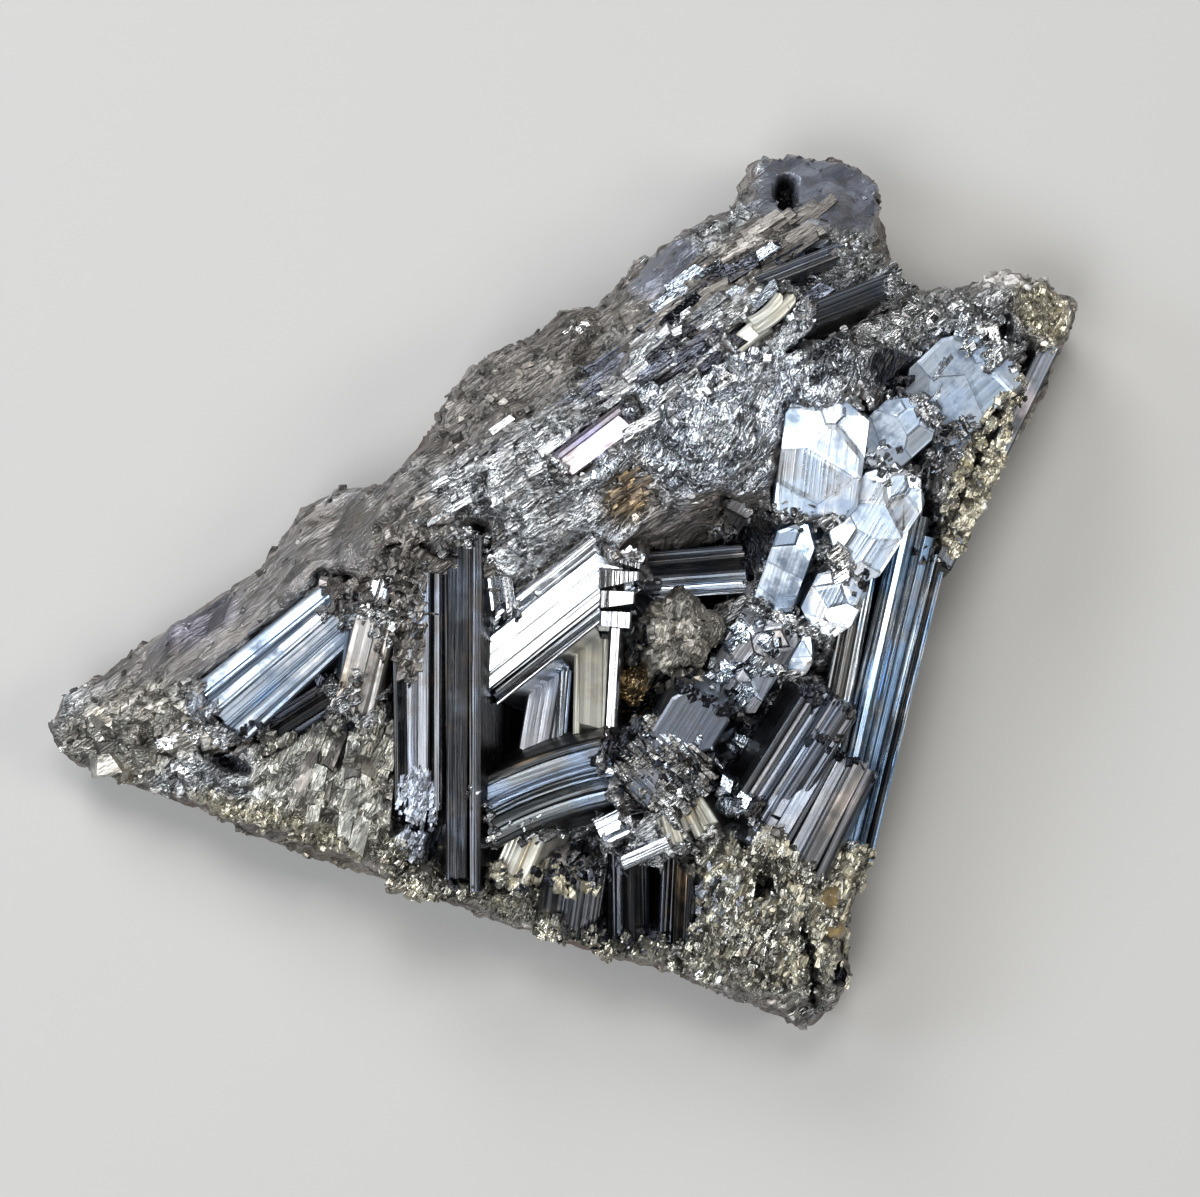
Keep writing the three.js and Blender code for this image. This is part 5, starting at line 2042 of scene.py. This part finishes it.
RIDGE = Cluster("ridge laths", 700, (
    Blades("ridge_lath_upper", Finish.FLUTED, (LathRow(3, tilt=12),), heading=(0.9, 0.4, -0.3)),
    Blades("ridge_lath_lower", Finish.FLUTED, (LathRow(5, tilt=14),), heading=(0.85, 0.4, -0.5)),
    Blades(
        "ridge_lath_rosy", Finish.ROSY, (LathRow(2, tilt=4, grooves=1, tones=(0.3, 0.7)),), (0.8, 0.55, 0.3),
        (0.3, 0.3),
    ),
    Blades("cream_flake", Finish.PALE, (
        LathRow(
            1, across=(0.12, 0.7), head=(0.6, 0.6), tilt=3, roll=-10, ragged=0.02, sink=(0.4, 0.4), deep=0.5,
            bow=0.2,
        ),
        LathRow(
            2, across=(0.26, 0.98), foot=(0.34, 0.42), tilt=5, roll=9, ragged=0.12, drop=0.12,
            sink=(0.1, 0.3), deep=0.5, bow=-0.25, tip=Tip.ROOF, variety=0.2,
        ),
    ), heading=(0.75, 0.65, 0), crusted=(0.4, 0)),
))


# ------------------------------------------------------------
# The studio
# ------------------------------------------------------------
@dataclass(frozen=True)
class SoftBox:
    """A square studio light that points at the specimen."""

    azimuth: float
    elevation: float
    distance: float
    side: float
    power: float
    colour: Triple = (1.0, 1.0, 1.0)

    def build(self, name: str) -> None:
        """Makes the light.

        Args:
            name: The light's name.
        """
        lamp = bpy.data.lights.new(name, "AREA")
        lamp.shape = "SQUARE"
        lamp.size = self.side
        lamp.energy = self.power
        lamp.color = self.colour
        holder = put_in_scene(name, lamp)
        around, up = math.radians(self.azimuth), math.radians(self.elevation)
        direction = Vector((math.cos(around) * math.cos(up), math.sin(around) * math.cos(up), math.sin(up)))
        holder.location = direction * self.distance
        holder.rotation_euler = direction.to_track_quat("Z", "Y").to_euler()


@dataclass(frozen=True)
class Studio:
    """Floor, lights and camera."""

    lights: tuple[SoftBox, ...] = (
        SoftBox(232, 62, 0.55, 0.24, 1.6),
        SoftBox(85, 72, 0.55, 0.16, 0.8),
        SoftBox(120, 42, 0.5, 0.22, 1.1),
        SoftBox(175, 38, 0.5, 0.16, 0.6, (0.82, 0.9, 1.0)),
        SoftBox(-5, 48, 0.5, 0.14, 0.6, (1.0, 0.95, 0.88)),
    )
    floor_side: float = 3.0
    floor_colour: Triple = (0.5, 0.5, 0.49)
    world: float = 0.05
    elevation: float = math.radians(83)
    lens: float = 110.0
    sensor: float = 36.0
    view_width: float = 1.15
    aside: Pair = (0.031, -0.02)

    def build(self) -> None:
        """Makes the floor, the lights and the camera."""
        self.make_floor()
        for i, light in enumerate(self.lights):
            light.build(f"soft_box_{i + 1}")
        world = bpy.data.worlds.new("studio")
        world.use_nodes = True
        background = world.node_tree.nodes["Background"]
        background.inputs["Color"].default_value = (1, 1, 1, 1)
        background.inputs["Strength"].default_value = self.world
        scene = bpy.context.scene
        scene.world = world
        scene.view_settings.view_transform = "Standard"
        self.make_camera(scene)

    def make_floor(self) -> None:
        """A plain pale floor."""
        bm = bmesh.new()
        bmesh.ops.create_grid(bm, x_segments=1, y_segments=1, size=self.floor_side / 2)
        material, sketch = new_material("floor")
        sketch.surface({"Base Color": (*self.floor_colour, 1), "Roughness": 0.8})
        put_in_scene("floor", mesh_from(bm, "floor", material))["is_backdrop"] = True

    def make_camera(self, scene: bpy.types.Scene) -> None:
        """Looks down on the specimen, a little from its lower edge.

        Args:
            scene: The scene.
        """
        low, high = (Vector(corner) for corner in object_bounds())
        size = high - low
        lens = bpy.data.cameras.new("camera")
        lens.lens = self.lens
        lens.sensor_width = self.sensor
        lens.clip_start = 0.01
        holder = put_in_scene("camera", lens)
        middle = (low + high) / 2
        aim = middle + Vector((self.aside[0] * size.x, self.aside[1] * size.x, 0))
        away = Vector((0, -math.cos(self.elevation), math.sin(self.elevation)))
        distance = self.view_width * size.x * self.lens / self.sensor
        holder.location = aim + away * distance
        holder.rotation_euler = away.to_track_quat("Z", "Y").to_euler()
        scene.camera = holder


CLUSTERS = (POCKET, CHAIN, RIGHT_EDGE, CORNER, FOOT, WING, RIDGE)

laths = partial(Rubble, shapes=THIN)
tiles = partial(Rubble, shapes=TILES)
lamellae = partial(Rubble, shapes=FINE)

RUBBLE = (
    # ledges along the ridge
    laths(Kind.SHADOW, (0.64, 0.78), (12.0, 3.6), 40, (2.0, 5.0), 32, spread=5, lean=0.1, sink=0.03),
    laths(Kind.BROWN, (0.66, 0.84), (8.0, 2.4), 26, (1.6, 4.4), 32, spread=6, lean=0.1, sink=0.02),
    laths(Kind.STEEL, (0.66, 0.82), (9.0, 3.0), 18, (1.6, 4.0), 32, spread=5, lean=0.1, sink=0.03),
    laths(Kind.RIDGE, (0.5, 0.65), (14.0, 3.6), 60, (1.2, 3.6), 36, spread=8, lean=0.1, sink=0.03),
    # upright flutes at the lower left
    laths(Kind.COLUMN, (0.31, 0.27), (4.6, 3.4), 60, (2.0, 5.0), -15, angle=80, spread=4, lean=0.08),
    laths(Kind.STEEL, (0.36, 0.25), (1.8, 3.6), 16, (1.2, 3.0), angle=84, spread=6, lean=0.1),
    laths(
        Kind.FROST, (0.358, 0.235), (1.5, 3.4), 260, (0.4, 1.5), angle=74, spread=14, lean=0.2,
        draped=True,
    ),
    # brown crust that hangs over the flutes of the tall blade
    Rubble(Kind.BROWN, (0.35, 0.46), (1.3, 5.4), 300, (0.3, 1.1), angle=75, lean=0.35, draped=True),
    # whitish cap of the right knob
    Rubble(Kind.WHITE, (0.937, 0.846), (2.8, 0.9), 80, (0.4, 1.2), 5, angle=10, lean=0.2),
    # large smooth faces: a dark blade and two brown-grey columns
    laths(Kind.SHADOW, (0.17, 0.295), (0.3, 0.1), 2, (5.4, 5.8), -20, angle=-20, spread=3, lean=0.04),
    Rubble(Kind.BROWN, (0.27, 0.29), (2.6, 1.6), 7, (2.6, 4.2), angle=80, spread=5, lean=0.05, shapes=SLABS),
    Rubble(Kind.TIP, (0.1, 0.33), (6.0, 2.6), 26, (1.0, 2.6), 10, angle=20, spread=25, lean=0.15),
    Rubble(Kind.SILVER, (0.12, 0.31), (3.6, 1.6), 7, (0.8, 1.6), 10, 25, spread=20, lean=0.15, level=0.9),
    # brassy strip that covers the upper end of the fan
    Rubble(
        Kind.BRASSY, (0.893, 0.61), (6.0, 1.6), 420, (0.35, 1.0), 69, spread=30, lean=0.3, sink=0.05,
        draped=True,
    ),
    # bright chips on the ridge, near-white as painted highlight
    Rubble(Kind.SILVER, (0.638, 0.69), (1.6, 0.6), 8, (0.9, 1.8), 35, spread=8, lean=0.08, level=0.9),
    Rubble(Kind.SILVER, (0.838, 0.789), (3.0, 1.2), 16, (0.8, 1.9), 10, spread=12, lean=0.12, level=0.9),
    Rubble(Kind.SILVER, (0.57, 0.61), (1.0, 0.8), 6, (0.9, 1.5), 35, angle=35, spread=5, lean=0.1, level=0.9),
    Rubble(Kind.SILVER, (0.512, 0.776), (0.9, 0.5), 6, (0.6, 1.2), 10, spread=20, lean=0.2, level=0.9),
    laths(Kind.BRONZE, (0.5575, 0.58), (1.9, 1.4), 16, (0.8, 2.0), 25, spread=8, lean=0.12, sink=0.02),
    laths(Kind.GOLD, (0.5575, 0.58), (1.7, 1.2), 9, (0.5, 1.2), 25, spread=8, lean=0.12, sink=0.02),
    # small blocks in the bright chain
    tiles(Kind.SILVER, (0.755, 0.52), (3.0, 2.0), 24, (1.0, 2.2), 55, spread=9, lean=0.07, level=0.95),
    tiles(Kind.STEEL, (0.775, 0.56), (3.2, 2.2), 22, (0.8, 2.0), 55, spread=9, lean=0.09, level=0.95),
    tiles(Kind.SILVER, (0.7, 0.44), (3.0, 1.8), 16, (0.7, 1.8), 50, spread=12, lean=0.14, level=0.9),
    tiles(Kind.SHADOW, (0.667, 0.4), (3.6, 2.4), 34, (0.8, 2.2), 50, spread=16, lean=0.22, level=0.8),
    tiles(
        Kind.STEEL, (0.667, 0.4), (3.4, 2.2), 34, (0.6, 1.7), 50, spread=16, lean=0.3, level=0.8,
        draped=True,
    ),
    # fine lamellae of the crumpled mass, and broken pieces around the smooth plate
    lamellae(
        Kind.PLEATED, (0.588, 0.284), (3.1, 2.7), 420, (1.6, 3.6), angle=-46, spread=6, lean=0.12,
        draped=True,
    ),
    lamellae(
        Kind.STEEL, (0.6, 0.29), (3.0, 2.4), 110, (1.2, 3.0), angle=-46, spread=7, lean=0.15,
        draped=True,
    ),
    tiles(Kind.STEEL, (0.66, 0.28), (1.8, 3.0), 40, (0.7, 1.8), angle=60, lean=0.25, level=0.9),
    Rubble(Kind.COOL, (0.88, 0.73), (4.6, 3.6), 90, (0.4, 1.5), 50, angle=50, spread=20, lean=0.2, level=0.9),
    laths(
        Kind.STEEL, (0.87, 0.72), (3.0, 2.0), 9, (0.8, 2.2), 50, angle=52, spread=8, lean=0.05, sink=0.1,
        draped=True,
    ),
    Rubble(Kind.EARTHY, (0.603, 0.417), (2.9, 3.2), 110, (0.3, 1.1), spread=60, lean=0.5, draped=True),
    Rubble(Kind.GOLD, (0.564, 0.36), (1.0, 1.2), 40, (0.2, 0.6), spread=60, lean=0.6, draped=True),
    # crushed grains at the foot
    Rubble(Kind.CREAM, (0.46, 0.17), (7.0, 1.2), 130, (0.4, 1.3), -18, angle=70, lean=0.4),
    laths(Kind.CREAM, (0.7, 0.13), (7.5, 5.0), 340, (0.8, 2.0), angle=68, spread=15, lean=0.25),
    laths(Kind.DRUSE, (0.7, 0.13), (7.8, 5.4), 420, (0.8, 2.2), angle=68, spread=15, lean=0.25),
    laths(Kind.SILVER, (0.68, 0.1), (6.0, 4.0), 60, (0.7, 1.8), angle=68, spread=15, lean=0.3),
    laths(Kind.FROST, (0.63, 0.14), (2.6, 2.2), 130, (0.6, 1.6), angle=60, spread=20, lean=0.3),
    laths(Kind.STEEL, (0.6, 0.11), (1.6, 0.8), 10, (1.0, 2.0), angle=72, spread=8, lean=0.15),
    Rubble(Kind.CREAM, (0.782, 0.175), (1.6, 1.2), 80, (0.4, 1.3), angle=75, lean=0.3, draped=True),
)


def main() -> None:
    """Builds the specimen and the studio around it."""
    logging.basicConfig(level=logging.INFO, format="%(message)s")
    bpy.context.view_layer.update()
    Studio().build()
    effects = Effects()
    materials = {finish: finish.value.build(effects) for finish in Finish}
    crust = CrustMap()
    stone_finish = StoneFinish("massive_stibnite", "massive_stibnite")
    stone_material = stone_finish.build(effects)
    crystals = [crystal for cluster in CLUSTERS for crystal in cluster.crystals]
    stone = Stone(crust, crystals).build(stone_material)
    hand_over(stone, stone_finish.slot, "matrix")
    grain_finish = StoneFinish("stibnite_grains", "massive_stibnite", relief=0.0)
    grain_material = grain_finish.build(effects)
    for grains in (
        Grains("grains_left", (0.0, 0.36), 1500, 11),
        Grains("grains_middle", (0.36, 0.64), 1900, 12),
        Grains("grains_right", (0.64, 1.0), 3300, 13),
    ):
        hand_over(grains.build(crust, stone, grain_material), grain_finish.slot)
    pieces = [stone]
    for cluster in CLUSTERS:
        pieces += cluster.build(materials)
    for i, lump in enumerate(LUMPS):
        made = lump.build(stone_material, 40 + i)
        hand_over(made, lump.slot, lump.node)
        pieces.append(made)
    terrain = Terrain(pieces)
    overgrowth = GrainHeap("overgrown_ends", 21)
    Overgrowth().build(overgrowth, crystals, crust, terrain)
    hand_over(overgrowth.finish(grain_material), grain_finish.slot)
    honey = HoneyFinish()
    hand_over(HoneyGrains().build(honey.build(), crust, terrain), honey.slot)
    rubble = GrainHeap("rubble", 22)
    for patch in RUBBLE:
        patch.build(rubble, terrain, crust)
    hand_over(rubble.finish(grain_material), grain_finish.slot)


if __name__ == "__main__":
    main()
